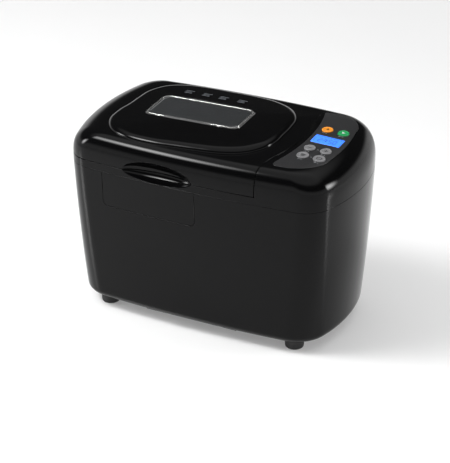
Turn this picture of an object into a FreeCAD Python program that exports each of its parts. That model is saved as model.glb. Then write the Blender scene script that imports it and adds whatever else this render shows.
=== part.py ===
import FreeCAD, Part
import math
import os

# Bread machine with two kneading paddles. Millimetres, +Z up, origin on the table under the middle.
# Front is -Y, the control end is +X. Every sub-part is one function, and the list at the end writes them.

V = FreeCAD.Vector
os.makedirs("parts", exist_ok=True)

# Overall form
WIDTH = 410.0
DEPTH = 226.0
HEIGHT = 288.0
BULGE_SIDE = 1720.0        # plan radius of the long sides
BULGE_END = 257.0          # plan radius of the short ends
CORNER = 41.0              # plan corner radius
DRAFT_END = 0.034          # body taper per mm of depth below the seam
DRAFT_SIDE = 0.019
DRAFT_CURVE = 0.000135     # extra inward curve of the body per mm squared
CORNER_GROW = 0.04         # corner radius gained per mm of depth below the seam
BOTTOM_ROUND = 10.0

# Heights
GROUND_CLEAR = 16.5        # underside of the body shell
DOME_RISE = 6.0
LID_RISE = 51.0            # lid lower edge to the highest crown point
COLLAR_HEIGHT = 11.5
LID_Z = HEIGHT - DOME_RISE - LID_RISE
BODY_TOP = LID_Z - COLLAR_HEIGHT

# Crown and shoulder of the lid and the control housing
TOP_SLOPE = 0.074          # the whole top falls toward the front
TOP_BULGE = 4.9
SHOULDER_END = 49.0
SHOULDER_SIDE = 22.0
SHOULDER_POWER = 2.6
CROWN_REACH = DEPTH / 2 - SHOULDER_SIDE
CROWN_TILT = (TOP_SLOPE * CROWN_REACH) ** 2 / (4 * TOP_BULGE)
CROWN_BASE = HEIGHT - DOME_RISE - TOP_BULGE - CROWN_TILT

# Walls and clearances
WALL = 2.8
LID_GAP = 0.8              # between the lid and what it closes against
SEAM_GAP = 1.0             # between the lid and the control housing
LIP = 3.0                  # thickness of the lid lip over the housing ledge
LIP_STEP = 5.5             # how far the ledge lies below the crown
LIP_SIDE = 1.2             # thickness of the lip where it comes down the front and back
LEDGE_SIDE = 3.6           # how far the ledge stands in there, so that the lip swings clear
RUN = 0.05                 # radial running clearance of shafts
CLEAR = 0.5                # plain clearance

# Lid and control seam
SKIRT_X = 97.5             # right wall of the lid below its lip
SEAM = [(99.5, -100), (103.0, -73), (108.8, -54), (114.3, -34), (117.6, -11), (118.2, 12), (116.1, 32), (112.6, 52)]
SEAM_BACK = (109.6, 66.0)

# Raised lid panel and window
DOME_OUTLINE = [
    (-29.0, -91.2), (2.5, -87.7), (34.8, -82.7), (65.0, -70.8), (85.2, -50.6), (92.3, -26.4), (92.6, -3.0),
    (92.3, 20.5), (88.1, 45.8), (71.1, 69.2), (40.4, 83.6), (4.7, 87.8), (-29.0, 87.7), (-62.6, 87.4),
    (-97.6, 82.8), (-127.2, 67.9), (-142.9, 44.4), (-146.6, 19.7), (-148.3, -3.0), (-152.0, -26.8),
    (-149.8, -53.3), (-132.2, -77.5), (-100.0, -91.7), (-62.9, -94.4),
]
DOME_EDGE = 9.0
DOME_SKIN = 2.6
WINDOW_CENTRE = (-38.0, 3.3)
WINDOW_SIZE = (142.0, 60.5)
WINDOW_CORNER = 11.0
TRIM_WIDTH = 1.8
TRIM_RISE = 0.5
GLASS = 2.4

# Finger recess
GRIP_X = -44.5
GRIP_HALF = 54.0
GRIP_DEPTH = 15.0
GRIP_UP = 18.0
GRIP_DOWN = 11.0
GRIP_BACK = 5.0            # wall left behind the recess

# Front insert panel
INSERT_X = (-131.0, 13.5)
INSERT_BOTTOM = 50.5       # below the body seam
INSERT_CORNER = 8.0

# Baking chamber and pan
CHAMBER_X = -45.0
CHAMBER_HALF = (122.0, 86.0)
CHAMBER_CORNER = 28.0
CHAMBER_FLOOR = 62.0
SHEET = 1.0
DECK_TOP = LID_Z - 4.0     # ledge that carries the chamber flange
FLANGE = 6.5
SHIELD_GAP = 5.0
LINER_TOP = LID_Z + 29.5
LINER_HALF = (121.5, 84.0)
ELEMENT_R = 3.2
ELEMENT_Z = 82.0
ELEMENT_HALF = (112.5, 76.5)
ELEMENT_CORNER = 24.0
TERMINALS = (-9.0, 9.0)
SENSOR_X = 20.0
SENSOR_Z = 120.0
PADDLE_PITCH = 112.0
PAN_HALF = (111.0, 67.0)
PAN_TAPER = 6.0
PAN_CORNER = 24.0
PAN_WALL = 1.5
PAN_FLOOR = 86.0
PAN_RIM = LID_Z - 31.0
PAN_BASE_HALF = (92.0, 50.0)
SEAL_R = 10.0
EAR_X = PAN_HALF[0] + 4.5

# Drive
DECK_Z = 48.0
DECK_SHEET = 2.0
BELT_Z = 36.5
BELT_WIDTH = 6.0
WHEEL_RIM = 1.2
WHEEL_HEIGHT = BELT_WIDTH + 1.0 + 2 * WHEEL_RIM
LINK_Z = BELT_Z - WHEEL_HEIGHT
BELT_THICK = 1.6
BELT_CLEAR = 0.4
MOTOR_X = 142.0
MOTOR_PULLEY_R = 9.0
DRIVE_PULLEY_R = 42.0
LINK_PULLEY_R = 20.0
SPINDLE_R = 5.0
MOTOR_R = 34.0
MOTOR_HEIGHT = 78.0
MOTOR_SHAFT_R = 4.0
BEARING_R = 11.0
COUPLER_Z = CHAMBER_FLOOR + 4.0
COUPLER_R = 9.0

# Shafts, paddles, handle
PAN_SHAFT_R = 4.0
SHAFT_TOP = PAN_FLOOR + 26.0
PADDLE_REACH = 45.0
HANDLE_ARM = 50.0
HANDLE_R = 2.5
HANDLE_PIVOT_Z = PAN_RIM - 8.0

# Lid hinge
HINGE_Y = DEPTH / 2 + 2.3
HINGE_Z = LID_Z + 4.0
HINGE_R = 3.0
HINGE_PIN_R = 1.5
HINGE_X = (-130.0, 88.0)
KNUCKLE = 16.0
FIXED_KNUCKLE = 8.0

# Controls
BUTTONS = {
    "button_stop": (138.4, 37.0, 7.7),
    "button_start": (162.0, 36.6, 7.7),
    "button_minus": (138.4, -20.3, 7.7),
    "button_plus": (161.8, -20.6, 7.7),
    "button_menu": (138.6, -42.6, 8.35),
    "button_crust": (162.0, -42.6, 8.35),
}
BUTTON_CLEAR = 0.35
BUTTON_RISE = 1.2
BUTTON_TRAVEL = 1.0
OVERLAY = 1.2
LCD_CENTRE = (151.2, 8.5)
LCD_SIZE = (42.0, 23.0)
BOARD_Z = LID_Z + 24.0
BOARD = 1.6

# Feet and base
FOOT_X = 145.0
FOOT_Y = 71.0
FOOT_R = 14.0
PLATE = 3.0
PLATE_TOP = GROUND_CLEAR + PLATE + 0.5
PLATE_LEDGE = 5.0          # shallow tray under the plate, between the feet
LEDGE_X = (-76.0, 65.0)
SEAT_INSET = BOTTOM_ROUND + 1.5
SEAT_LAND = 9.0            # width of the rim that the base plate is screwed to
PLATE_GAP = 0.4
POST_R = 5.0
SCREW_R = 2.0
BOSS_R = 4.5
BOSS_HEIGHT = 12.0
SCREW_X = (-120.0, -40.0, 40.0, 120.0)

# Cord inlet
GLAND_X = 152.0
GLAND_Z = 44.0
GLAND_R = 9.0
GLAND_BORE_R = 3.8


def box(x0, x1, y0, y1, z0, z1):
    return Part.makeBox(x1 - x0, y1 - y0, z1 - z0, V(x0, y0, z0))


def rod(radius, z0, z1, x=0.0, y=0.0):
    return Part.makeCylinder(radius, z1 - z0, V(x, y, z0))


def rod_x(radius, x0, x1, y, z):
    return Part.makeCylinder(radius, x1 - x0, V(x0, y, z), V(1, 0, 0))


def tube(outer, inner, z0, z1, x=0.0, y=0.0):
    return rod(outer, z0, z1, x, y).cut(rod(inner, z0 - 1, z1 + 1, x, y))


def bulged_wire(a, b, side, end, corner, z, slope=0.0):
    """Closed plan outline of eight tangent arcs, on a plane that rises by slope along Y."""
    y_side = side - b
    x_end = a - end
    reach_side = side - corner
    reach_end = end - corner
    gap = math.hypot(x_end, y_side)
    along = (reach_side ** 2 - reach_end ** 2 + gap ** 2) / (2 * gap)
    off = math.sqrt(max(reach_side ** 2 - along ** 2, 1e-9))
    ex, ey = x_end / gap, -y_side / gap
    tries = [(along * ex - s * off * ey, y_side + along * ey + s * off * ex) for s in (1, -1)]
    cx, cy = min(tries, key=lambda c: c[1] - c[0])
    t1 = math.atan2(cy - y_side, cx)
    t2 = math.atan2(cy, cx - x_end)
    side_pt = (side * math.cos(t1), y_side + side * math.sin(t1))
    end_pt = (x_end + end * math.cos(t2), end * math.sin(t2))
    tm = (t1 + t2) / 2
    mid = (cx + corner * math.cos(tm), cy + corner * math.sin(tm))

    def at(x, y):
        return V(x, y, z + slope * y)

    def arc(p, q, r):
        return Part.Arc(at(*p), at(*q), at(*r)).toShape()

    sx, sy = side_pt
    qx, qy = end_pt
    mx, my = mid
    edges = [
        arc((-sx, sy), (0, -b), (sx, sy)),
        arc((sx, sy), (mx, my), (qx, qy)),
        arc((qx, qy), (a, 0), (qx, -qy)),
        arc((qx, -qy), (mx, -my), (sx, -sy)),
        arc((sx, -sy), (0, b), (-sx, -sy)),
        arc((-sx, -sy), (-mx, -my), (-qx, -qy)),
        arc((-qx, -qy), (-a, 0), (-qx, qy)),
        arc((-qx, qy), (-mx, my), (-sx, sy)),
    ]
    return Part.Wire(edges)


def plan_wire(z, dx, dy, slope=0.0):
    """The machine's own outline, drawn in by dx at the ends and dy at the long sides."""
    corner = max(CORNER - min(dx, dy), 4.0)
    return bulged_wire(WIDTH / 2 - dx, DEPTH / 2 - dy, BULGE_SIDE - dy, BULGE_END - dx, corner, z, slope)


def upper_volume(inset, drop, foot=0.0):
    """Everything above the lid's lower edge, drawn in by inset and lowered by drop."""
    wires = []
    if foot:
        wires.append(plan_wire(LID_Z - foot, inset, inset))
    span = CROWN_BASE - drop - LID_Z
    steps = 9
    for i in range(steps + 1):
        part = 1 - math.cos(i / steps * math.pi / 2)
        lift = (1 - (1 - part) ** SHOULDER_POWER) ** (1 / SHOULDER_POWER)
        dx = inset + SHOULDER_END * part
        dy = inset + SHOULDER_SIDE * part
        wires.append(plan_wire(LID_Z + span * lift, dx, dy, TOP_SLOPE * lift))
    a = WIDTH / 2 - SHOULDER_END - inset
    b = DEPTH / 2 - SHOULDER_SIDE - inset
    corner = max(CORNER - SHOULDER_SIDE - inset, 4.0)
    for scale in (0.8, 0.55, 0.3, 0.08):
        z = LID_Z + span + TOP_BULGE * (1 - scale ** 2)
        side = (BULGE_SIDE - SHOULDER_SIDE - inset) * scale
        end = (BULGE_END - SHOULDER_END - inset) * scale
        wires.append(bulged_wire(a * scale, b * scale, side, end, corner * scale, z, TOP_SLOPE))
    return Part.makeLoft(wires, True, True)


def body_volume(inset, z0, z1, round_bottom=0.0):
    """The tapered body between two heights, drawn in by inset."""
    levels = [z0 + (z1 - z0) * i / 3 for i in range(4)]
    wires = []
    if round_bottom:
        levels[0] = z0 + round_bottom
        for turn in (0.0, 0.3, 0.62):
            angle = turn * math.pi / 2
            dip = round_bottom * (1 - math.sin(angle))
            z = z0 + round_bottom * (1 - math.cos(angle))
            wires.append(body_ring(z, inset + dip))
    wires += [body_ring(z, inset) for z in levels]
    return Part.makeLoft(wires, True, True)


def body_ring(z, inset):
    below = max(BODY_TOP - z, 0.0)
    dx = inset + draft(z, DRAFT_END)
    dy = inset + draft(z, DRAFT_SIDE)
    corner = max(CORNER + CORNER_GROW * below - inset, 4.0)
    return bulged_wire(WIDTH / 2 - dx, DEPTH / 2 - dy, BULGE_SIDE - dy, BULGE_END - dx, corner, z)


def draft(z, slope):
    """How far the body has drawn in at a height."""
    below = max(BODY_TOP - z, 0.0)
    return below * slope + DRAFT_CURVE * below ** 2


def prism(wire, z0, z1):
    face = Part.Face(wire)
    face.translate(V(0, 0, z0 - wire.BoundBox.ZMin))
    return face.extrude(V(0, 0, z1 - z0))


def rounded_wire(cx, cy, hx, hy, r, z):
    """Rectangle with round corners, half sizes hx and hy."""
    k = r * (1 - math.sqrt(0.5))
    xs = (cx - hx, cx - hx + r, cx + hx - r, cx + hx)
    ys = (cy - hy, cy - hy + r, cy + hy - r, cy + hy)

    def line(p, q):
        return Part.LineSegment(V(*p, z), V(*q, z)).toShape()

    def arc(p, m, q):
        return Part.Arc(V(*p, z), V(*m, z), V(*q, z)).toShape()

    return Part.Wire([
        line((xs[1], ys[0]), (xs[2], ys[0])),
        arc((xs[2], ys[0]), (xs[3] - k, ys[0] + k), (xs[3], ys[1])),
        line((xs[3], ys[1]), (xs[3], ys[2])),
        arc((xs[3], ys[2]), (xs[3] - k, ys[3] - k), (xs[2], ys[3])),
        line((xs[2], ys[3]), (xs[1], ys[3])),
        arc((xs[1], ys[3]), (xs[0] + k, ys[3] - k), (xs[0], ys[2])),
        line((xs[0], ys[2]), (xs[0], ys[1])),
        arc((xs[0], ys[1]), (xs[0] + k, ys[0] + k), (xs[1], ys[0])),
    ])


def rounded(cx, cy, hx, hy, r, z0, z1):
    return prism(rounded_wire(cx, cy, hx, hy, r, z0), z0, z1)


def seam_side(shift, left):
    """Prism on one side of the seam between the lid and the control housing."""
    pts = [V(x + shift, y, 0) for x, y in SEAM + [SEAM_BACK]]
    curve = Part.BSplineCurve()
    curve.interpolate(Points=pts, InitialTangent=V(0, 1, 0), FinalTangent=V(0, 1, 0))
    far_x = -WIDTH if left else WIDTH
    y0, y1 = -DEPTH, DEPTH
    a, b = pts[0], pts[-1]
    corners = [b, V(b.x, y1, 0), V(far_x, y1, 0), V(far_x, y0, 0), V(a.x, y0, 0), a]
    wire = Part.Wire([curve.toShape()] + Part.makePolygon(corners).Edges)
    return prism(wire, LID_Z - 40, HEIGHT + 40)


UPPER = upper_volume(0.0, 0.0)


def surface_z(x, y):
    """Height of the outer crown over a point."""
    probe = Part.makeLine(V(x, y, LID_Z + 1), V(x, y, HEIGHT + 30))
    return UPPER.common(probe).BoundBox.ZMax


def wall_y(x, z):
    """Rear face of the body at a place."""
    probe = Part.makeLine(V(x, 0, z), V(x, DEPTH, z))
    return BODY.common(probe).BoundBox.YMax


BODY = body_volume(0.0, GROUND_CLEAR, BODY_TOP, BOTTOM_ROUND)


def ellipsoid(x, y, z, rx, ry, rz):
    ball = Part.makeSphere(1.0)
    grow = FreeCAD.Matrix()
    grow.scale(V(rx, ry, rz))
    shape = ball.transformGeometry(grow)
    shape.translate(V(x, y, z))
    return shape


def grip_block(z0, z1):
    y_back = -DEPTH / 2 + GRIP_DEPTH + GRIP_BACK
    wide = GRIP_HALF + GRIP_BACK
    return box(GRIP_X - wide, GRIP_X + wide, -DEPTH / 2 - 5, y_back, z0, z1)


def grip_scoop(height):
    return ellipsoid(GRIP_X, -DEPTH / 2 - 0.5, LID_Z, GRIP_HALF, GRIP_DEPTH, height)


# Outer case

def body_shell():
    mouth = body_volume(SEAT_INSET + SEAT_LAND, GROUND_CLEAR - 5, PLATE_TOP + 20)
    seat = body_volume(SEAT_INSET, GROUND_CLEAR - 5, PLATE_TOP)
    shell = hollow(BODY).cut(mouth)
    for x, y in plate_screws():
        shell = shell.fuse(rod(BOSS_R, PLATE_TOP, PLATE_TOP + BOSS_HEIGHT, x, y))
        shell = shell.cut(rod(SCREW_R, 0, PLATE_TOP + BOSS_HEIGHT + 1, x, y))
    shell = shell.cut(seat).cut(insert_volume(0.0))
    for slot in vent_slots():
        shell = shell.cut(slot)
    hole_y = wall_y(GLAND_X, GLAND_Z)
    hole = Part.makeCylinder(GLAND_R, 30, V(GLAND_X, hole_y - 15, GLAND_Z), V(0, 1, 0))
    return shell.cut(hole)


def hollow(shape):
    """Takes the room inside the body's walls out of a shape."""
    room = body_volume(WALL, PLATE_TOP + WALL, BODY_TOP, BOTTOM_ROUND)
    top = body_volume(WALL, BODY_TOP - 1, BODY_TOP + 5)
    return shape.cut(room).cut(top)


def vent_slots():
    rows = [BODY_TOP - 60 - 9 * i for i in range(7)]
    return [box(70, 135, DEPTH / 2 - 25, DEPTH / 2 + 5, z, z + 3.5) for z in rows]


def insert_volume(inset):
    """Flush panel let into the front wall, as deep as the wall."""
    x0 = INSERT_X[0] + inset
    x1 = INSERT_X[1] - inset
    z0 = BODY_TOP - INSERT_BOTTOM + inset
    face = rounded_wire((x0 + x1) / 2, 0, (x1 - x0) / 2, 60, INSERT_CORNER - inset, 0)
    block = prism(face, 0, DEPTH)
    block.rotate(V(0, 0, 0), V(1, 0, 0), 90)
    block.translate(V(0, 0, z0 + 60))
    return block.common(box(-WIDTH, WIDTH, -DEPTH, -30, 0, BODY_TOP))


def front_insert_panel():
    return hollow(BODY.common(insert_volume(0.3)))


def base_plate():
    under = PLATE_TOP - PLATE
    plate = body_volume(SEAT_INSET + PLATE_GAP, under, PLATE_TOP)
    y = rim_y(LEDGE_X[0], SEAT_INSET) - 1.0
    plate = plate.fuse(box(*LEDGE_X, -y, y, under - PLATE_LEDGE, PLATE_TOP - 1))
    for i in range(8):
        x = FOOT_X - 27 + 7 * i
        plate = plate.cut(box(x, x + 3, -40, 30, 0, HEIGHT))
    for x, y in plate_screws():
        plate = plate.cut(rod(SCREW_R, 0, HEIGHT, x, y))
        plate = plate.cut(rod(2 * SCREW_R + 0.4, 0, under, x, y))
    return plate


def rim_y(x, inset):
    """Distance of the underside's long edge from the middle, at a place along it."""
    return DEPTH / 2 - draft(GROUND_CLEAR, DRAFT_SIDE) - inset - x ** 2 / (2 * BULGE_SIDE)


def plate_screws():
    return [(x, side * rim_y(x, SEAT_INSET + SEAT_LAND / 2)) for x in SCREW_X for side in (-1, 1)]


def rubber_feet():
    top = PLATE_TOP - PLATE
    feet = []
    for x in (-FOOT_X, FOOT_X):
        for y in (-FOOT_Y, FOOT_Y):
            foot = Part.makeCone(FOOT_R - 1.2, FOOT_R, top, V(x, y, 0))
            rim = [e for e in foot.Edges if e.BoundBox.ZMax < 0.01]
            feet.append(foot.makeFillet(3.0, rim))
    return Part.Compound(feet)


def base_screws():
    screws = []
    z = PLATE_TOP - PLATE
    for x, y in plate_screws():
        head = rod(2 * SCREW_R, z - 1.4, z, x, y)
        shank = rod(SCREW_R - 0.05, z - 1, PLATE_TOP + BOSS_HEIGHT - 2, x, y)
        screws.append(head.fuse(shank))
    return Part.Compound(screws)


def upper_housing():
    """Collar ring all round, chamber deck, control housing and fixed hinge knuckles in one moulding."""
    top = LID_Z - LID_GAP
    ring = prism(plan_wire(BODY_TOP, 0, 0), BODY_TOP, top)
    ring = ring.cut(prism(plan_wire(BODY_TOP, WALL, WALL), BODY_TOP - 1, top + 1))
    deck = prism(plan_wire(BODY_TOP, 1, 1), DECK_TOP - 2.5, DECK_TOP)
    deck = deck.cut(chamber_prism(1.0, BODY_TOP - 5, top + 5))
    deck = deck.cut(box(SKIRT_X + 8, WIDTH, -DEPTH / 2 + 16, DEPTH / 2 - 16, 0, HEIGHT))
    collar = ring.fuse(deck)
    pocket = grip_block(BODY_TOP, top).common(prism(plan_wire(BODY_TOP, 0.5, 0.5), BODY_TOP, top))
    collar = collar.fuse(pocket).cut(grip_scoop(GRIP_DOWN))
    collar = collar.fuse(housing_shell())
    for block in fixed_knuckles():
        collar = collar.fuse(block)
    for tool in panel_holes():
        collar = collar.cut(tool)
    return collar.removeSplitter()


def housing_shell():
    """Hollow control end with a ledge that the lid's lip lies over."""
    right = box(SKIRT_X + SEAM_GAP, WIDTH, -DEPTH, DEPTH, 0, HEIGHT + 50)
    body = UPPER.common(seam_side(SEAM_GAP, False))
    ledge = upper_volume(LEDGE_SIDE, LIP_STEP).common(right)
    body = body.fuse(ledge)
    base = prism(plan_wire(BODY_TOP, 0, 0), LID_Z - LID_GAP - 0.5, LID_Z)
    body = body.fuse(base.common(right))
    inner = upper_volume(WALL, WALL, 12.0).common(seam_side(SEAM_GAP + WALL, False))
    inner_low = upper_volume(LEDGE_SIDE + WALL, WALL + LIP_STEP, 12.0).common(
        box(SKIRT_X + SEAM_GAP + WALL, WIDTH, -DEPTH, DEPTH, 0, HEIGHT + 50))
    return body.cut(inner).cut(inner_low)


def fixed_knuckles():
    blocks = []
    section = [(DEPTH / 2 - 6, LID_Z - 8), (HINGE_Y + 2.5, LID_Z - 8), (HINGE_Y + 2.5, HINGE_Z),
               (HINGE_Y - 2.5, HINGE_Z), (HINGE_Y - 2.5, LID_Z - LID_GAP), (DEPTH / 2 - 6, LID_Z - LID_GAP)]
    for x in HINGE_X:
        for side in (-1, 1):
            x0 = x + side * (KNUCKLE / 2 + CLEAR)
            x1 = x0 + side * FIXED_KNUCKLE
            lo, hi = min(x0, x1), max(x0, x1)
            wire = Part.makePolygon([V(lo, y, z) for y, z in section + section[:1]])
            foot = Part.Face(wire).extrude(V(hi - lo, 0, 0))
            barrel = rod_x(HINGE_R, lo, hi, HINGE_Y, HINGE_Z)
            bore = rod_x(HINGE_PIN_R + 0.02, lo - 1, hi + 1, HINGE_Y, HINGE_Z)
            blocks.append(foot.fuse(barrel).cut(bore))
    return blocks


def hinge_pins():
    reach = KNUCKLE / 2 + CLEAR + FIXED_KNUCKLE
    return Part.Compound([rod_x(HINGE_PIN_R, x - reach, x + reach, HINGE_Y, HINGE_Z) for x in HINGE_X])


# Control panel

def overlay_wire():
    arcs = [
        ((114.0, 85.0), (125.2, 3.0), (112.6, -74.0)),
        ((112.6, -74.0), (113.5, -80.5), (120.0, -82.8)),
        ((120.0, -82.8), (136.0, -81.5), (152.0, -75.5)),
        ((152.0, -75.5), (168.0, -60.0), (175.5, -36.0)),
        ((175.5, -36.0), (178.5, 8.0), (173.5, 52.0)),
        ((173.5, 52.0), (168.0, 73.0), (156.0, 84.5)),
        ((156.0, 84.5), (136.0, 88.0), (114.0, 85.0)),
    ]
    return Part.Wire([Part.Arc(*[V(x, y, LID_Z) for x, y in arc]).toShape() for arc in arcs])


def overlay_prism():
    return prism(overlay_wire(), LID_Z + 20, HEIGHT + 30)


def panel_holes():
    """Recess for the overlay, button holes and display opening in the control housing."""
    tools = [UPPER.cut(upper_volume(OVERLAY, OVERLAY, 5.0)).common(overlay_prism())]
    for x, y, r in BUTTONS.values():
        tools.append(rod(r + BUTTON_CLEAR, BOARD_Z, HEIGHT + 20, x, y))
    tools.append(rounded(*LCD_CENTRE, LCD_SIZE[0] / 2, LCD_SIZE[1] / 2, 1.5, BOARD_Z, HEIGHT + 20))
    return tools


def control_overlay():
    skin = UPPER.cut(upper_volume(OVERLAY, OVERLAY, 5.0)).common(overlay_prism())
    for x, y, r in BUTTONS.values():
        skin = skin.cut(rod(r + BUTTON_CLEAR, BOARD_Z, HEIGHT + 20, x, y))
    return skin.cut(rounded(*LCD_CENTRE, LCD_SIZE[0] / 2, LCD_SIZE[1] / 2, 1.5, BOARD_Z, HEIGHT + 20))


def lcd_window():
    opening = rounded(*LCD_CENTRE, LCD_SIZE[0] / 2, LCD_SIZE[1] / 2, 1.5, BOARD_Z, HEIGHT + 20)
    return UPPER.cut(upper_volume(WALL, WALL, 5.0)).common(opening)


def lcd_module():
    hx = LCD_SIZE[0] / 2 + 2.5
    hy = LCD_SIZE[1] / 2 + 2.5
    top = surface_z(LCD_CENTRE[0] + hx, LCD_CENTRE[1] - hy) - WALL - 1.2
    cx, cy = LCD_CENTRE
    return box(cx - hx, cx + hx, cy - hy, cy + hy, BOARD_Z + BOARD, top)


def button(name):
    x, y, r = BUTTONS[name]
    z = surface_z(x + r, y - r)
    cap = upper_volume(-BUTTON_RISE, -BUTTON_RISE).common(rod(r, z - WALL - 2.2, HEIGHT + 20, x, y))
    flange = rod(r + 1.4, z - WALL - 3.2, z - WALL - 2.2, x, y)
    stem = rod(2.0, stem_bottom(), z - WALL - 3, x, y)
    return cap.fuse(flange).fuse(stem).removeSplitter()


def stem_bottom():
    return BOARD_Z + BOARD + 4.0 + BUTTON_TRAVEL + 0.1


def tact_switches():
    z = BOARD_Z + BOARD
    made = []
    for x, y, r in BUTTONS.values():
        base = box(x - 3, x + 3, y - 3, y + 3, z, z + 3)
        made.append(base.fuse(rod(1.6, z + 3, z + 4, x, y)))
    return Part.Compound(made)


def control_board():
    board = box(126, 176, -56, 52, BOARD_Z, BOARD_Z + BOARD)
    for x, y in board_corners():
        board = board.cut(rod(1.5, BOARD_Z - 1, BOARD_Z + 3, x, y))
    return board


def board_corners():
    return [(x, y) for x in (130.0, 172.0) for y in (-52.0, 48.0)]


def board_bracket():
    """Plastic tray under the control board, standing on the collar deck."""
    z1 = BOARD_Z
    tray = box(124, 178, -58, 54, z1 - 6, z1 - 4)
    for x, y in board_corners():
        tray = tray.fuse(rod(3.5, z1 - 5, z1, x, y))
        tray = tray.fuse(rod(1.4, z1 - 5, z1 + BOARD + 0.8, x, y))
    for y in (-DEPTH / 2 + 14, DEPTH / 2 - 24):
        arm_y0, arm_y1 = min(y, 0.0), max(y + 10, 0.0)
        tray = tray.fuse(box(140, 160, arm_y0, arm_y1, z1 - 6, z1 - 4))
        tray = tray.fuse(box(140, 160, y, y + 10, DECK_TOP, z1 - 4))
    return tray.removeSplitter()


# Lid

def lid_shell():
    left = seam_side(0.0, True)
    outer = UPPER.common(left)
    under = upper_volume(LIP_SIDE, LIP, 5.0).common(box(SKIRT_X, WIDTH, -DEPTH, DEPTH, 0, HEIGHT + 50))
    outer = outer.cut(under)
    room = upper_volume(WALL, WALL, 12.0).common(
        box(-WIDTH, SKIRT_X - WALL, -DEPTH, DEPTH, 0, HEIGHT + 50))
    shell = outer.cut(room)
    pocket = grip_block(LID_Z, LID_Z + GRIP_UP + 5).common(upper_volume(0.5, 0.5))
    shell = shell.fuse(pocket).cut(grip_scoop(GRIP_UP))
    for knuckle in lid_knuckles():
        shell = shell.fuse(knuckle)
    for post in liner_posts():
        shell = shell.fuse(post)
    return shell.cut(window_prism(-4.0)).removeSplitter()


def lid_knuckles():
    made = []
    for x in HINGE_X:
        barrel = rod_x(HINGE_R, x - KNUCKLE / 2, x + KNUCKLE / 2, HINGE_Y, HINGE_Z)
        arm = box(x - KNUCKLE / 2, x + KNUCKLE / 2, DEPTH / 2 - 9, HINGE_Y, HINGE_Z - 1.5, HINGE_Z + 2.5)
        room = upper_volume(WALL, WALL, 12.0)
        bore = rod_x(HINGE_PIN_R + RUN, x - KNUCKLE, x + KNUCKLE, HINGE_Y, HINGE_Z)
        made.append(barrel.fuse(arm).cut(room).cut(bore))
    return made


def liner_posts():
    """Bosses from the crown down to the liner's roof."""
    room = upper_volume(0.5, 0.5)
    return [rod(4.0, LINER_TOP, HEIGHT, x, y).common(room) for x, y in post_places()]


def post_places():
    return [(CHAMBER_X + sx * 98, sy * 64) for sx in (-1, 1) for sy in (-1, 1)]


def dome_wire(inset):
    """Outline of the raised panel, drawn in square to itself."""
    points = []
    for i, (x, y) in enumerate(DOME_OUTLINE):
        x0, y0 = DOME_OUTLINE[i - 1]
        x1, y1 = DOME_OUTLINE[(i + 1) % len(DOME_OUTLINE)]
        length = math.hypot(x1 - x0, y1 - y0)
        points.append(V(x - inset * (y1 - y0) / length, y + inset * (x1 - x0) / length, 0))
    curve = Part.BSplineCurve()
    curve.interpolate(Points=points, PeriodicFlag=True)
    return Part.Wire([curve.toShape()])


def dome_volume(inset, rise):
    return upper_volume(-rise, -rise).common(prism(dome_wire(inset), LID_Z + 20, HEIGHT + 30))


def lid_dome_panel():
    """Raised cap on the lid with a stepped round edge."""
    cap = dome_volume(0.0, DOME_RISE * 0.4)
    cap = cap.fuse(dome_volume(DOME_EDGE * 0.35, DOME_RISE * 0.75))
    cap = cap.fuse(dome_volume(DOME_EDGE, DOME_RISE))
    cap = cap.cut(UPPER)
    hollow = dome_volume(DOME_EDGE + 2, DOME_RISE - DOME_SKIN)
    rim = window_prism(-3.0)
    return cap.cut(hollow.cut(rim)).cut(window_prism(0.0)).removeSplitter()


def window_prism(inset):
    hx = WINDOW_SIZE[0] / 2 - inset
    hy = WINDOW_SIZE[1] / 2 - inset
    return rounded(*WINDOW_CENTRE, hx, hy, WINDOW_CORNER - inset, LID_Z + 15, HEIGHT + 30)


def window_trim():
    ring = upper_volume(-DOME_RISE - TRIM_RISE, -DOME_RISE - TRIM_RISE).cut(UPPER)
    return ring.common(window_prism(0.0)).cut(window_prism(TRIM_WIDTH))


def window_glass():
    pane = upper_volume(-DOME_RISE, -DOME_RISE).cut(upper_volume(0, GLASS - DOME_RISE, 5.0))
    return pane.common(window_prism(TRIM_WIDTH))


def lid_liner():
    """Metal tray that closes the chamber, with a window and a flange on its lower edge."""
    hx, hy = LINER_HALF
    tray = rounded(CHAMBER_X, 0, hx, hy, CHAMBER_CORNER, LID_Z + 1.5, LINER_TOP)
    room = rounded(CHAMBER_X, 0, hx - SHEET, hy - SHEET, CHAMBER_CORNER - 1, LID_Z, LINER_TOP - SHEET)
    flange = rounded(CHAMBER_X, 0, hx + 11, hy + 8, CHAMBER_CORNER + 9, LID_Z + 1.5, LID_Z + 2.5)
    tray = tray.fuse(flange).cut(room)
    return tray.cut(window_low(0.0)).removeSplitter()


def window_low(inset):
    hx = WINDOW_SIZE[0] / 2 - 4 - inset
    hy = WINDOW_SIZE[1] / 2 - 4 - inset
    return rounded(*WINDOW_CENTRE, hx, hy, 8.0 - inset, LID_Z + 10, LINER_TOP + 2)


def inner_glass():
    hx = WINDOW_SIZE[0] / 2
    hy = WINDOW_SIZE[1] / 2
    return rounded(*WINDOW_CENTRE, hx, hy, WINDOW_CORNER, LINER_TOP, LINER_TOP + 3.0)


def lid_seal():
    hx, hy = LINER_HALF
    z1 = LID_Z + 1.5
    ring = rounded(CHAMBER_X, 0, hx + 9, hy + 6, CHAMBER_CORNER + 7, DECK_TOP + SHEET + CLEAR, z1)
    return ring.cut(rounded(CHAMBER_X, 0, hx + 3, hy, CHAMBER_CORNER + 2, 0, HEIGHT))


# Chamber

def chamber_prism(grow, z0, z1):
    hx, hy = CHAMBER_HALF
    return rounded(CHAMBER_X, 0, hx + grow, hy + grow, CHAMBER_CORNER + grow, z0, z1)


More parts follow.
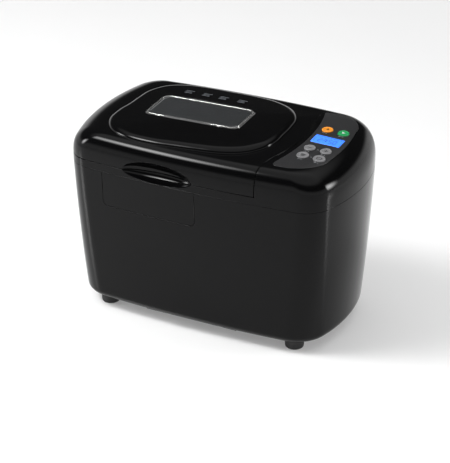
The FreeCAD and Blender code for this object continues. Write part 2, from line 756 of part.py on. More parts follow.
def chamber():
    pot = chamber_prism(0, CHAMBER_FLOOR, DECK_TOP + SHEET)
    flange = chamber_prism(FLANGE, DECK_TOP, DECK_TOP + SHEET)
    pot = pot.fuse(flange).cut(chamber_prism(-SHEET, CHAMBER_FLOOR + SHEET, DECK_TOP + 10))
    for x in paddle_places():
        pot = pot.cut(rod(BEARING_R, 0, 100, x, 0))
    for y in TERMINALS:
        pot = pot.cut(rod_x(ELEMENT_R + 1, 0, WIDTH / 2, y, ELEMENT_Z))
    return pot.cut(rod_y(4.0, -DEPTH / 2, 0, SENSOR_X, SENSOR_Z))


def rod_y(radius, y0, y1, x, z):
    return Part.makeCylinder(radius, y1 - y0, V(x, y0, z), V(0, 1, 0))


def paddle_places():
    return (CHAMBER_X - PADDLE_PITCH / 2, CHAMBER_X + PADDLE_PITCH / 2)


def heat_shield():
    """Sheet jacket round the chamber, standing on the drive deck."""
    z0, z1 = DECK_Z + DECK_SHEET, DECK_TOP - 8
    jacket = chamber_prism(SHIELD_GAP, z0, z1).cut(chamber_prism(SHIELD_GAP - 0.8, z0 - 1, z1 + 1))
    for y in TERMINALS:
        jacket = jacket.cut(rod_x(ELEMENT_R + 4, 0, WIDTH / 2, y, ELEMENT_Z))
    return jacket.cut(rod_y(7.0, -DEPTH / 2, 0, SENSOR_X, SENSOR_Z))


def heating_element():
    """Tubular element round the pan, with both ends led out through the control-end wall."""
    x1 = CHAMBER_X + ELEMENT_HALF[0]
    x0 = CHAMBER_X - ELEMENT_HALF[0]
    y1 = ELEMENT_HALF[1]
    r = ELEMENT_CORNER
    bend = 8.0
    t = TERMINALS[1]
    out = CHAMBER_X + CHAMBER_HALF[0] + 14
    k = r * (1 - math.sqrt(0.5))
    kb = bend * (1 - math.sqrt(0.5))

    def p(x, y):
        return V(x, y, ELEMENT_Z)

    half = [
        Part.LineSegment(p(x0, 0), p(x0, y1 - r)).toShape(),
        Part.Arc(p(x0, y1 - r), p(x0 + k, y1 - k), p(x0 + r, y1)).toShape(),
        Part.LineSegment(p(x0 + r, y1), p(x1 - r, y1)).toShape(),
        Part.Arc(p(x1 - r, y1), p(x1 - k, y1 - k), p(x1, y1 - r)).toShape(),
        Part.LineSegment(p(x1, y1 - r), p(x1, t + bend)).toShape(),
        Part.Arc(p(x1, t + bend), p(x1 + kb, t + kb), p(x1 + bend, t)).toShape(),
        Part.LineSegment(p(x1 + bend, t), p(out, t)).toShape(),
    ]
    profile = Part.Wire(Part.makeCircle(ELEMENT_R, p(x0, 0), V(0, 1, 0)))
    arm = Part.Wire(half).makePipeShell([profile], True, False)
    other = arm.mirror(V(0, 0, 0), V(0, 1, 0))
    return arm.fuse(other)


def element_clips():
    """Brackets from the chamber floor that hold the element."""
    made = []
    for sx in (-1, 1):
        for sy in (-1, 1):
            x = CHAMBER_X + sx * 60
            y = sy * ELEMENT_HALF[1]
            z = CHAMBER_FLOOR + SHEET
            stalk = box(x - 5, x + 5, y - 4, y + 4, z, z + 1)
            stalk = stalk.fuse(box(x - 4, x + 4, y - 0.6, y + 0.6, z, ELEMENT_Z))
            ring = rod_x(ELEMENT_R + 1, x - 4, x + 4, y, ELEMENT_Z)
            clip = stalk.fuse(ring).cut(rod_x(ELEMENT_R, x - 5, x + 5, y, ELEMENT_Z))
            made.append(clip)
    return Part.Compound(made)


def temperature_sensor():
    y = -CHAMBER_HALF[1]
    probe = rod_y(3.0, y - 4, y + 9, SENSOR_X, SENSOR_Z)
    flange = rod_y(6.5, y - 1.5, y, SENSOR_X, SENSOR_Z)
    return probe.fuse(flange)


def thermal_fuse():
    """Fuse strapped to the outside of the heat shield."""
    x = CHAMBER_X + CHAMBER_HALF[0] + SHIELD_GAP
    z = 150.0
    body = rod_y(2.0, -14, 14, x + 3.0, z)
    strap = box(x, x + 5.6, -5, 5, z - 4, z + 4).cut(rod_y(2.0, -14, 14, x + 3.0, z))
    return Part.Compound([body, strap])


def pan_lock_clips():
    """Spring clips on the chamber floor at both ends of the pan base."""
    made = []
    z = CHAMBER_FLOOR + SHEET
    for side in (-1, 1):
        x = CHAMBER_X + side * (PAN_BASE_HALF[0] + 1.0)
        lo, hi = sorted((x, x + side * 9))
        near, far = sorted((x, x + side))
        foot = box(lo, hi, -14, 14, z, z + 1)
        made.append(foot.fuse(box(near, far, -14, 14, z, z + 14)))
    return Part.Compound(made)


# Drive

def drive_deck():
    z0 = DECK_Z
    deck = rounded(10.0, 0, 172, 82, 20, z0, z0 + DECK_SHEET)
    for x in paddle_places():
        deck = deck.cut(rod(BEARING_R - 2.0, 0, 100, x, 0))
    deck = deck.cut(rod(12.0, 0, 100, MOTOR_X, 0))
    for x, y in deck_posts_at():
        deck = deck.cut(rod(SCREW_R, 0, 100, x, y))
    return deck


def deck_posts_at():
    return [(x, y) for x in (-150.0, 60.0, 160.0) for y in (-56.0, 56.0)]


def deck_posts():
    z0 = PLATE_TOP
    made = []
    for x, y in deck_posts_at():
        post = rod(POST_R, z0, DECK_Z, x, y)
        stud = rod(SCREW_R, DECK_Z - 1, DECK_Z + DECK_SHEET + 5, x, y)
        nut = rod(4.0, DECK_Z + DECK_SHEET, DECK_Z + DECK_SHEET + 3, x, y)
        made.append(post.fuse(stud).fuse(nut))
    return Part.Compound(made)


def spindle_bearings():
    """Bearing housings that stand on the deck and carry the chamber floor."""
    made = []
    for x in paddle_places():
        body = rod(BEARING_R + 5, DECK_Z + DECK_SHEET, CHAMBER_FLOOR, x, 0)
        neck = rod(BEARING_R, CHAMBER_FLOOR - 1, CHAMBER_FLOOR + 3, x, 0)
        tail = rod(BEARING_R - 2, DECK_Z - 2, DECK_Z + DECK_SHEET + 1, x, 0)
        bore = rod(SPINDLE_R + RUN, 0, 100, x, 0)
        made.append(body.fuse(neck).fuse(tail).cut(bore))
    return Part.Compound(made)


def drive_spindle(x):
    """Spindle with a two-dog coupler on its upper end."""
    spindle = rod(SPINDLE_R, LINK_Z - 3, COUPLER_Z + 1, x, 0)
    plate = rod(COUPLER_R, COUPLER_Z, COUPLER_Z + 4, x, 0)
    dog = box(x - 7.5, x + 7.5, -2.0, 2.0, COUPLER_Z + 4, COUPLER_Z + 8)
    dog = dog.cut(rod(3.4, 0, 100, x, 0))
    return spindle.fuse(plate).fuse(dog).removeSplitter()


def spindle_right():
    return drive_spindle(paddle_places()[1])


def spindle_left():
    return drive_spindle(paddle_places()[0])


def grooved_wheel(radius, z, x):
    """Pulley wheel with two rims beside the belt track."""
    wheel = rod(radius, z - BELT_WIDTH / 2 - 0.5, z + BELT_WIDTH / 2 + 0.5, x, 0)
    for zr in (z - WHEEL_HEIGHT / 2, z + WHEEL_HEIGHT / 2 - WHEEL_RIM):
        wheel = wheel.fuse(rod(radius + 1.6, zr, zr + WHEEL_RIM, x, 0))
    return wheel


def pulley_right():
    x = paddle_places()[1]
    both = grooved_wheel(DRIVE_PULLEY_R, BELT_Z, x).fuse(grooved_wheel(LINK_PULLEY_R, LINK_Z, x))
    for i in range(6):
        angle = i * math.pi / 3
        both = both.cut(rod(7.0, LINK_Z + 5, 60, x + 30 * math.cos(angle), 30 * math.sin(angle)))
    return both.cut(rod(SPINDLE_R, 0, 100, x, 0)).removeSplitter()


def pulley_left():
    x = paddle_places()[0]
    return grooved_wheel(LINK_PULLEY_R, LINK_Z, x).cut(rod(SPINDLE_R, 0, 100, x, 0)).removeSplitter()


def motor_pulley():
    wheel = grooved_wheel(MOTOR_PULLEY_R, BELT_Z, MOTOR_X)
    return wheel.cut(rod(MOTOR_SHAFT_R, 0, 100, MOTOR_X, 0)).removeSplitter()


def belt(x0, r0, x1, r1, z):
    """Flat belt round two wheels, kept clear of both."""
    def outline(extra):
        a, b = r0 + BELT_CLEAR + extra, r1 + BELT_CLEAR + extra
        lean = math.asin((a - b) / (x1 - x0))
        c, s = math.cos(lean), math.sin(lean)
        p = [V(x0 + a * s, a * c, 0), V(x1 + b * s, b * c, 0), V(x1 + b * s, -b * c, 0), V(x0 + a * s, -a * c, 0)]
        return Part.Wire([
            Part.LineSegment(p[0], p[1]).toShape(),
            Part.Arc(p[1], V(x1 + b, 0, 0), p[2]).toShape(),
            Part.LineSegment(p[2], p[3]).toShape(),
            Part.Arc(p[3], V(x0 - a, 0, 0), p[0]).toShape(),
        ])
    z0, z1 = z - BELT_WIDTH / 2, z + BELT_WIDTH / 2
    return prism(outline(BELT_THICK), z0, z1).cut(prism(outline(0.0), z0 - 1, z1 + 1))


def belt_motor():
    return belt(paddle_places()[1], DRIVE_PULLEY_R, MOTOR_X, MOTOR_PULLEY_R, BELT_Z)


def belt_link():
    left, right = paddle_places()
    return belt(left, LINK_PULLEY_R, right, LINK_PULLEY_R, LINK_Z)


def motor_housing():
    """Motor can on the deck, hollow, with a mounting flange and two bearing plates."""
    z0 = DECK_Z + DECK_SHEET
    z1 = z0 + MOTOR_HEIGHT
    can = rod(MOTOR_R, z0, z1, MOTOR_X, 0)
    flange = box(MOTOR_X - 33, MOTOR_X + 33, -46, 46, z0, z0 + 3)
    can = can.fuse(flange).cut(rod(MOTOR_R - 3, z0 + 4, z1 - 4, MOTOR_X, 0))
    for i in range(8):
        angle = i * math.pi / 4
        slot = rod(3.0, z1 - 5, z1 + 1, MOTOR_X + 22 * math.cos(angle), 22 * math.sin(angle))
        can = can.cut(slot)
    return can.cut(rod(MOTOR_SHAFT_R + RUN, 0, HEIGHT, MOTOR_X, 0))


def motor_stator():
    z0 = DECK_Z + DECK_SHEET + 16
    return tube(MOTOR_R - 3, 19.0, z0, z0 + 44, MOTOR_X, 0)


def motor_rotor():
    z0 = DECK_Z + DECK_SHEET
    shaft = rod(MOTOR_SHAFT_R, BELT_Z - 5, z0 + MOTOR_HEIGHT + 3, MOTOR_X, 0)
    return shaft.fuse(rod(18.0, z0 + 17, z0 + 59, MOTOR_X, 0)).removeSplitter()


# Electrics

def power_board():
    return box(97, 99, -62, 62, 66, 190)


def board_feet():
    return Part.Compound([box(95, 101, y - 5, y + 5, DECK_Z + DECK_SHEET, 66) for y in (-50, 50)])


def power_components():
    """Relay, capacitor, transformer and buzzer on the power board."""
    x = 99.0
    relay = box(x, x + 15, -50, -30, 150, 180)
    cap = Part.makeCylinder(9, 26, V(x, 0, 165), V(1, 0, 0))
    transformer = box(x, x + 26, 24, 56, 146, 182)
    buzzer = Part.makeCylinder(6, 8, V(x, -40, 138), V(1, 0, 0))
    return Part.Compound([relay, cap, transformer, buzzer])


def cord_gland():
    y = wall_y(GLAND_X, GLAND_Z)
    neck = rod_y(GLAND_R - 0.1, y - 15, y + 1, GLAND_X, GLAND_Z)
    rim = rod_y(GLAND_R + 3, y - 1.5, y + 4, GLAND_X, GLAND_Z).cut(BODY)
    nut = rod_y(GLAND_R + 3, y - 13, y - 9, GLAND_X, GLAND_Z)
    return neck.fuse(rim).fuse(nut).cut(rod_y(GLAND_BORE_R, 0, DEPTH, GLAND_X, GLAND_Z)).removeSplitter()


def terminal_block():
    z0 = DECK_Z + DECK_SHEET
    block = box(GLAND_X - 36, GLAND_X, 56, 72, z0, z0 + 14)
    for i in range(3):
        block = block.cut(rod(2.5, z0 + 6, z0 + 20, GLAND_X - 28 + 10 * i, 64))
    return block


# Pan

def pan_outline(inset, z, share):
    taper = PAN_TAPER * (1 - share)
    hx = PAN_HALF[0] - inset - taper
    hy = PAN_HALF[1] - inset - taper
    return rounded_wire(CHAMBER_X, 0, hx, hy, PAN_CORNER - inset, z)


def bread_pan():
    outer = Part.makeLoft([pan_outline(0, PAN_FLOOR, 0), pan_outline(0, PAN_RIM, 1)], True, True)
    inner = Part.makeLoft([pan_outline(PAN_WALL, PAN_FLOOR, 0), pan_outline(PAN_WALL, PAN_RIM, 1)], True, True)
    inner.translate(V(0, 0, PAN_WALL))
    rim = prism(pan_outline(-4.0, PAN_RIM - 1.5, 1), PAN_RIM - 1.5, PAN_RIM)
    pan = outer.fuse(rim).cut(inner)
    top = prism(pan_outline(PAN_WALL, PAN_RIM - 2, 1), PAN_RIM - 2, PAN_RIM + 5)
    pan = pan.cut(top)
    for x in paddle_places():
        pan = pan.cut(rod(SEAL_R, 0, HEIGHT, x, 0))
    return pan.removeSplitter()


def pan_base():
    """Cast foot under the pan that drops between the lock clips."""
    z0 = CHAMBER_FLOOR + SHEET
    foot = rounded(CHAMBER_X, 0, *PAN_BASE_HALF, 16, z0, PAN_FLOOR)
    foot = foot.cut(rounded(CHAMBER_X, 0, PAN_BASE_HALF[0] - 3, PAN_BASE_HALF[1] - 3, 13, z0 - 1, PAN_FLOOR - 3))
    for x in paddle_places():
        foot = foot.cut(rod(SEAL_R, 0, HEIGHT, x, 0))
    return foot


def shaft_seals():
    """Bushings pressed through the pan floor."""
    made = []
    for x in paddle_places():
        body = rod(SEAL_R, PAN_FLOOR - 5, PAN_FLOOR + PAN_WALL, x, 0)
        cone = Part.makeCone(SEAL_R, PAN_SHAFT_R + 2, 2.0, V(x, 0, PAN_FLOOR + PAN_WALL))
        made.append(body.fuse(cone).cut(rod(PAN_SHAFT_R + RUN, 0, HEIGHT, x, 0)))
    return Part.Compound(made)


def d_shaft(x, radius, z0, z1, flat):
    """Round shaft with one flat side."""
    keep = box(x - 20, x + flat, -20, 20, z0 - 1, z1 + 1)
    return rod(radius, z0, z1, x, 0).common(keep)


def pan_shaft(x):
    """Shaft through the pan floor, with a wing under it that the drive dogs turn."""
    low = rod(PAN_SHAFT_R, COUPLER_Z + 9.0, PAN_FLOOR + PAN_WALL + 2, x, 0)
    high = d_shaft(x, PAN_SHAFT_R, PAN_FLOOR + PAN_WALL + 1, SHAFT_TOP, PAN_SHAFT_R - 1)
    hub = rod(6.0, COUPLER_Z + 9.0, PAN_FLOOR - 6, x, 0)
    wing = box(x - 2.2, x + 2.2, -8.5, 8.5, COUPLER_Z + 8.8, COUPLER_Z + 12)
    claws = box(x - 2.2, x + 2.2, 5.0, 8.5, COUPLER_Z + 4.6, COUPLER_Z + 12)
    claws = claws.fuse(box(x - 2.2, x + 2.2, -8.5, -5.0, COUPLER_Z + 4.6, COUPLER_Z + 12))
    return low.fuse(high).fuse(hub).fuse(wing).fuse(claws).removeSplitter()


def pan_shaft_right():
    return pan_shaft(paddle_places()[1])


def pan_shaft_left():
    return pan_shaft(paddle_places()[0])


def paddle(x, side):
    """Kneading paddle: hub over the shaft's flat, and a curved leaning blade."""
    z0 = PAN_FLOOR + PAN_WALL + 3.0
    hub = Part.makeCone(9.0, 7.0, 24.0, V(x, 0, z0))
    blade = box(x, x + side * PADDLE_REACH, -2.0, 2.0, z0, z0 + 20) if side > 0 else \
        box(x - PADDLE_REACH, x, -2.0, 2.0, z0, z0 + 20)
    corner = Part.makeCylinder(40.0, 20, V(x + side * (PADDLE_REACH - 40), -10, z0 + 0.0), V(0, 1, 0))
    blade = blade.common(corner)
    foot = rod(PADDLE_REACH, z0, z0 + 2.5, x, 0).common(
        box(min(x, x + side * PADDLE_REACH), max(x, x + side * PADDLE_REACH), -5.5, 5.5, 0, HEIGHT))
    bore = d_shaft(x, PAN_SHAFT_R + RUN, z0 - 1, z0 + 40, PAN_SHAFT_R - 1 + RUN)
    return hub.fuse(blade).fuse(foot).cut(bore).removeSplitter()


def paddle_right():
    return paddle(paddle_places()[1], -1)


def paddle_left():
    return paddle(paddle_places()[0], -1)


def handle_ears():
    """Riveted ears at both ends of the pan rim, each with a pivot stub."""
    made = []
    for side in (-1, 1):
        x_in = CHAMBER_X + side * PAN_HALF[0]
        x_out = CHAMBER_X + side * (EAR_X - 0.5)
        lo, hi = min(x_in, x_out), max(x_in, x_out)
        ear = box(lo, hi, -9, 9, HANDLE_PIVOT_Z - 7, PAN_RIM - 1.5)
        pan_body = Part.makeLoft([pan_outline(0, PAN_FLOOR, 0), pan_outline(0, PAN_RIM, 1)], True, True)
        stub_lo, stub_hi = sorted((x_out, x_out + side * 3.6))
        stub = rod_x(2.0, stub_lo, stub_hi, 0, HANDLE_PIVOT_Z)
        made.append(ear.cut(pan_body).fuse(stub))
    return Part.Compound(made)


def bail_handle():
    """Wire bail that lies toward the front above the rim, with a grip tube."""
    z = PAN_RIM + HANDLE_R + 2.0
    rise = z - HANDLE_PIVOT_Z
    y = -math.sqrt(HANDLE_ARM ** 2 - rise ** 2)
    pieces = []
    x_arm = EAR_X + 1.4
    for side in (-1, 1):
        x = CHAMBER_X + side * x_arm
        arm = Part.makeCylinder(HANDLE_R * 0.55, HANDLE_ARM, V(x, 0, HANDLE_PIVOT_Z), V(0, y, rise))
        eye = rod_x(4.2, x - 1.2, x + 1.2, 0, HANDLE_PIVOT_Z)
        pieces += [arm, eye]
    bar = rod_x(HANDLE_R, CHAMBER_X - x_arm - 1.2, CHAMBER_X + x_arm + 1.2, y, z)
    grip = rod_x(HANDLE_R + 1.5, CHAMBER_X - 45, CHAMBER_X + 45, y, z)
    shape = bar.fuse(grip)
    for piece in pieces:
        shape = shape.fuse(piece)
    hole = rod_x(2.0 + RUN, -WIDTH / 2, WIDTH / 2, 0, HANDLE_PIVOT_Z)
    return shape.cut(hole).removeSplitter()


NODES = {
    "body_shell": body_shell, "base_plate": base_plate, "rubber_feet": rubber_feet, "base_screws": base_screws,
    "upper_housing": upper_housing, "front_insert_panel": front_insert_panel, "hinge_pins": hinge_pins,
    "control_overlay": control_overlay, "lcd_window": lcd_window, "lcd_module": lcd_module,
    "control_board": control_board, "board_bracket": board_bracket, "tact_switches": tact_switches,
    "lid_shell": lid_shell, "lid_dome_panel": lid_dome_panel, "window_trim": window_trim,
    "window_glass": window_glass, "inner_glass": inner_glass, "lid_liner": lid_liner, "lid_seal": lid_seal,
    "chamber": chamber, "heat_shield": heat_shield, "heating_element": heating_element,
    "element_clips": element_clips, "temperature_sensor": temperature_sensor, "thermal_fuse": thermal_fuse,
    "pan_lock_clips": pan_lock_clips, "drive_deck": drive_deck, "deck_posts": deck_posts,
    "spindle_bearings": spindle_bearings, "spindle_right": spindle_right, "spindle_left": spindle_left,
    "pulley_right": pulley_right, "pulley_left": pulley_left, "motor_pulley": motor_pulley,
    "belt_motor": belt_motor, "belt_link": belt_link, "motor_housing": motor_housing,
    "motor_stator": motor_stator, "motor_rotor": motor_rotor, "power_board": power_board,
    "board_feet": board_feet, "power_components": power_components, "cord_gland": cord_gland,
    "terminal_block": terminal_block, "bread_pan": bread_pan, "pan_base": pan_base,
    "shaft_seals": shaft_seals, "pan_shaft_right": pan_shaft_right, "pan_shaft_left": pan_shaft_left,
    "paddle_right": paddle_right, "paddle_left": paddle_left, "handle_ears": handle_ears,
    "bail_handle": bail_handle,
}

for name, make in NODES.items():
    make().exportStep("parts/" + name + ".step")
for name in BUTTONS:
    button(name).exportStep("parts/" + name + ".step")
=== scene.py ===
import math
import bmesh
import bpy
import numpy as np
from mathutils import Matrix, Vector
from mathutils.bvhtree import BVHTree


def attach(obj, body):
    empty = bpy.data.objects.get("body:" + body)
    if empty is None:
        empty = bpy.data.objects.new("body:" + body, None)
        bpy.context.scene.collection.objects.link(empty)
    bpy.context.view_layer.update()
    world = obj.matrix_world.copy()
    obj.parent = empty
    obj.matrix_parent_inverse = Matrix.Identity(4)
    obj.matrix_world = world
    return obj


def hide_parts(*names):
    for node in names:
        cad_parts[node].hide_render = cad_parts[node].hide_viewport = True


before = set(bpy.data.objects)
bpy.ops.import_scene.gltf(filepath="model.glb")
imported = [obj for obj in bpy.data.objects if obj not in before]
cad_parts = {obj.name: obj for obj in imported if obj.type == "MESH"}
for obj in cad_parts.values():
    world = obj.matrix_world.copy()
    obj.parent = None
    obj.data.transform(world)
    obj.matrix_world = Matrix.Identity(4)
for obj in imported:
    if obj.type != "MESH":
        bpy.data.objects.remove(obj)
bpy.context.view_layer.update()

# Camera: a long lens, a little above the machine and off its front right corner.
TURN, TILT, AWAY = math.radians(27.09), math.radians(26.33), 2.396
AIM = Vector((0.0021, 0.0, 0.1109))
bearing = Vector((math.sin(TURN) * math.cos(TILT), -math.cos(TURN) * math.cos(TILT), math.sin(TILT)))
camera = bpy.data.objects.new("camera", bpy.data.cameras.new("camera"))
camera.data.sensor_width = 36.0
camera.data.lens = 132.48
camera.data.clip_end = 50.0
facing_away = bearing.to_track_quat("Z", "Y").to_matrix().to_4x4()
camera.matrix_world = Matrix.Translation(AIM + AWAY * bearing) @ facing_away
bpy.context.scene.collection.objects.link(camera)
bpy.context.scene.camera = camera
bpy.context.scene.view_settings.view_transform = "Standard"

# Studio: a pale floor with a weak gloss, a white surround that is darker in a band above the horizon,
# and soft boxes overhead and beside the machine, each fading out towards its edges.


def link(name, mesh):
    piece = bpy.data.objects.new(name, mesh)
    bpy.context.scene.collection.objects.link(piece)
    return piece


def shader(name, colour, rough, metal=0.0, grain=600.0, depth=0.02, mottle=0.12):
    """A finish with fine grain: uneven gloss, slight colour drift and a shallow surface texture."""
    made = bpy.data.materials.new(name)
    made.use_nodes = True
    nodes, links = made.node_tree.nodes, made.node_tree.links
    skin = nodes["Principled BSDF"]
    skin.inputs["Metallic"].default_value = metal
    place = nodes.new("ShaderNodeTexCoord")
    drift, fine = nodes.new("ShaderNodeTexNoise"), nodes.new("ShaderNodeTexNoise")
    for noise, scale, detail in ((drift, grain / 14, 4.0), (fine, grain, 2.0)):
        noise.inputs["Scale"].default_value = scale
        noise.inputs["Detail"].default_value = detail
        links.new(place.outputs["Object"], noise.inputs["Vector"])
    tone = nodes.new("ShaderNodeMix")
    tone.data_type = "RGBA"
    tone.inputs["A"].default_value = (*[c * (1 - mottle) for c in colour], 1.0)
    tone.inputs["B"].default_value = (*[min(c * (1 + mottle), 1.0) for c in colour], 1.0)
    links.new(drift.outputs["Fac"], tone.inputs["Factor"])
    links.new(tone.outputs["Result"], skin.inputs["Base Color"])
    gloss = nodes.new("ShaderNodeMapRange")
    gloss.inputs["To Min"].default_value = rough * 0.8
    gloss.inputs["To Max"].default_value = rough * 1.25
    links.new(drift.outputs["Fac"], gloss.inputs["Value"])
    links.new(gloss.outputs["Result"], skin.inputs["Roughness"])
    bump = nodes.new("ShaderNodeBump")
    bump.inputs["Strength"].default_value = depth
    bump.inputs["Distance"].default_value = 0.0005
    links.new(fine.outputs["Fac"], bump.inputs["Height"])
    links.new(bump.outputs["Normal"], skin.inputs["Normal"])
    return made


floor_mesh = bpy.data.meshes.new("floor")
floor_mesh.from_pydata([(-20, -20, 0), (20, -20, 0), (20, 20, 0), (-20, 20, 0)], [], [(0, 1, 2, 3)])
floor = link("floor", floor_mesh)
pale = shader("pale_floor", (0.87, 0.87, 0.87), 0.2, grain=40.0, depth=0.0, mottle=0.005)
pale.node_tree.nodes["Principled BSDF"].inputs["IOR"].default_value = 1.7
pale.node_tree.nodes["Principled BSDF"].inputs["Emission Color"].default_value = (1.0, 1.0, 1.0, 1.0)
pale.node_tree.nodes["Principled BSDF"].inputs["Emission Strength"].default_value = 0.22
floor.data.materials.append(pale)


def soft_box(name, place, aim, size, power):
    lamp = bpy.data.lights.new(name, "AREA")
    lamp.shape = "RECTANGLE"
    lamp.size, lamp.size_y = size
    lamp.energy = power
    lamp.use_nodes = True
    nodes, links = lamp.node_tree.nodes, lamp.node_tree.links
    spread = nodes.new("ShaderNodeNewGeometry")
    centre = nodes.new("ShaderNodeVectorMath")
    centre.inputs[1].default_value = (0.5, 0.5, 0.0)
    centre.operation = "DISTANCE"
    fade = nodes.new("ShaderNodeMapRange")
    fade.interpolation_type = "SMOOTHSTEP"
    for socket, value in (("From Min", 0.0), ("From Max", 0.5), ("To Min", 1.0), ("To Max", 0.0)):
        fade.inputs[socket].default_value = value
    links.new(spread.outputs["Parametric"], centre.inputs[0])
    links.new(centre.outputs["Value"], fade.inputs["Value"])
    links.new(fade.outputs["Result"], nodes["Emission"].inputs["Strength"])
    thing = bpy.data.objects.new(name, lamp)
    way = Vector(aim) - Vector(place)
    thing.matrix_world = Matrix.Translation(place) @ way.to_track_quat("-Z", "Y").to_matrix().to_4x4()
    bpy.context.scene.collection.objects.link(thing)


soft_box("overhead", (-0.95, -0.75, 1.7), (-0.1, 0, 0.2), (1.3, 0.9), 110)
soft_box("right_end", (2.2, 0.9, 0.75), (0.1, 0, 0.15), (0.7, 1.2), 75)
soft_box("left_end", (-2.0, -0.9, 0.9), (-0.1, 0, 0.15), (0.8, 1.2), 75)

surround = bpy.data.worlds.new("surround")
surround.use_nodes = True
nodes, links = surround.node_tree.nodes, surround.node_tree.links
facing = nodes.new("ShaderNodeTexCoord")
height = nodes.new("ShaderNodeSeparateXYZ")
sky = nodes.new("ShaderNodeValToRGB")
sky.color_ramp.interpolation = "EASE"
for stop, value in ((0.0, 1.0), (0.12, 1.0), (0.34, 0.05), (0.62, 0.05), (0.86, 1.0)):
    mark = sky.color_ramp.elements.new(stop)
    mark.color = (value, value, value, 1.0)
sky.color_ramp.elements.remove(sky.color_ramp.elements[0])
links.new(facing.outputs["Generated"], height.inputs["Vector"])
links.new(height.outputs["Z"], sky.inputs["Fac"])
links.new(sky.outputs["Color"], nodes["Background"].inputs["Color"])
nodes["Background"].inputs["Strength"].default_value = 1.1
bpy.context.scene.world = surround

# Lower case: one deep moulding in gloss black, about 3 mm thick, drafted inwards and open underneath.
# Its bottom edge is rolled in, and its plan is a rectangle whose long and short sides all bow outwards.
MM = 0.001
WIDTH, DEPTH, HEIGHT = 410.0, 226.0, 288.0
SIDE_BOW, END_BOW, CORNER, CORNER_GROW = 1720.0, 257.0, 41.0, 0.04
GROUND, BODY_TOP, LID_Z = 16.5, 219.5, 231.0
WALL = 2.8
DRAFT_END, DRAFT_SIDE, DRAFT_CURVE = 0.034, 0.019, 0.000135
BOTTOM_ROUND = 10.0
EDGE = 0.5


def outline(a, b, side, end, corner):
    """Plan outline of eight tangent arcs, counter-clockwise from the front left."""
    y_side, x_end = side - b, a - end
    reach_side, reach_end = side - corner, end - corner
    gap = math.hypot(x_end, y_side)
    along = (reach_side ** 2 - reach_end ** 2 + gap ** 2) / (2 * gap)
    off = math.sqrt(max(reach_side ** 2 - along ** 2, 1e-9))
    ex, ey = x_end / gap, -y_side / gap
    tries = [(along * ex - s * off * ey, y_side + along * ey + s * off * ex) for s in (1, -1)]
    cx, cy = min(tries, key=lambda c: c[1] - c[0])
    t1, t2 = math.atan2(cy - y_side, cx), math.atan2(cy, cx - x_end)

    def sweep(x, y, radius, start, stop, count):
        turn = np.linspace(start, stop, count, endpoint=False)
        return np.stack([x + radius * np.cos(turn), y + radius * np.sin(turn)], 1)

    half = np.vstack([sweep(0, y_side, side, -math.pi - t1, t1, 96), sweep(cx, cy, corner, t1, t2, 20),
                      sweep(x_end, 0, end, t2, -t2, 56), sweep(cx, -cy, corner, -t2, -t1, 20)])
    return np.vstack([half, -half])


def plan(dx, dy):
    """The machine's own outline, drawn in by dx at the ends and dy at the long sides."""
    return outline(WIDTH / 2 - dx, DEPTH / 2 - dy, SIDE_BOW - dy, END_BOW - dx,
                   max(CORNER - min(dx, dy), 4.0))


def level(flat, z):
    return np.column_stack([flat, np.full(len(flat), z)])


def case_ring(z, inset):
    below = max(BODY_TOP - z, 0.0)
    curve = inset + DRAFT_CURVE * below ** 2
    dx, dy = curve + below * DRAFT_END, curve + below * DRAFT_SIDE
    corner = max(CORNER + CORNER_GROW * below - inset, 4.0)
    return level(outline(WIDTH / 2 - dx, DEPTH / 2 - dy, SIDE_BOW - dy, END_BOW - dx, corner), z)


def skin_over(rings, closed=False, caps=False):
    """Mesh through a stack of equal rings, in millimetres."""
    count = len(rings[0])
    faces = []
    for low in range(len(rings) - (0 if closed else 1)):
        high = (low + 1) % len(rings)
        for i in range(count):
            j = (i + 1) % count
            faces.append((low * count + i, low * count + j, high * count + j, high * count + i))
    points = np.vstack(rings)
    if caps:
        middles = np.array([rings[0].mean(0), rings[-1].mean(0)])
        foot, head = len(points), len(points) + 1
        top = (len(rings) - 1) * count
        faces += [((i + 1) % count, i, foot) for i in range(count)]
        faces += [(top + i, top + (i + 1) % count, head) for i in range(count)]
        points = np.vstack([points, middles])
    mesh = bpy.data.meshes.new("skin")
    mesh.from_pydata((points * MM).tolist(), [], faces)
    return mesh


def carve(piece, *tools, action="DIFFERENCE"):
    """Cuts each tool out of a piece and drops the tool."""
    for tool in tools:
        cut = piece.modifiers.new("cut", "BOOLEAN")
        cut.operation, cut.solver, cut.object = action, "MANIFOLD", tool
        graph = bpy.context.evaluated_depsgraph_get()
        mesh = bpy.data.meshes.new_from_object(piece.evaluated_get(graph))
        piece.modifiers.clear()
        piece.data = mesh
        bpy.data.objects.remove(tool)
    return piece


def round_edges(piece, width=EDGE, segments=3, limit=48):
    """Small moulded radius on every sharp edge, with the flat faces kept flat in shading."""
    work = bmesh.new()
    work.from_mesh(piece.data)
    bmesh.ops.remove_doubles(work, verts=work.verts, dist=0.00005)
    bmesh.ops.dissolve_degenerate(work, edges=work.edges, dist=0.00005)
    work.to_mesh(piece.data)
    work.free()
    if width:
        roll = piece.modifiers.new("roll", "BEVEL")
        roll.width, roll.segments, roll.limit_method = width * MM, segments, "ANGLE"
        roll.angle_limit, roll.use_clamp_overlap = math.radians(limit), False
    piece.data.shade_smooth()
    even = piece.modifiers.new("even", "WEIGHTED_NORMAL")
    even.keep_sharp = True
    graph = bpy.context.evaluated_depsgraph_get()
    mesh = bpy.data.meshes.new_from_object(piece.evaluated_get(graph))
    piece.modifiers.clear()
    mesh.materials.clear()
    mesh.polygons.foreach_set("material_index", [0] * len(mesh.polygons))
    piece.data = mesh
    return piece


def block(x0, x1, y0, y1, z0, z1):
    corners = np.array([[x0, y0], [x1, y0], [x1, y1], [x0, y1]], float)
    return link("block", skin_over([level(corners, z0), level(corners, z1)], caps=True))


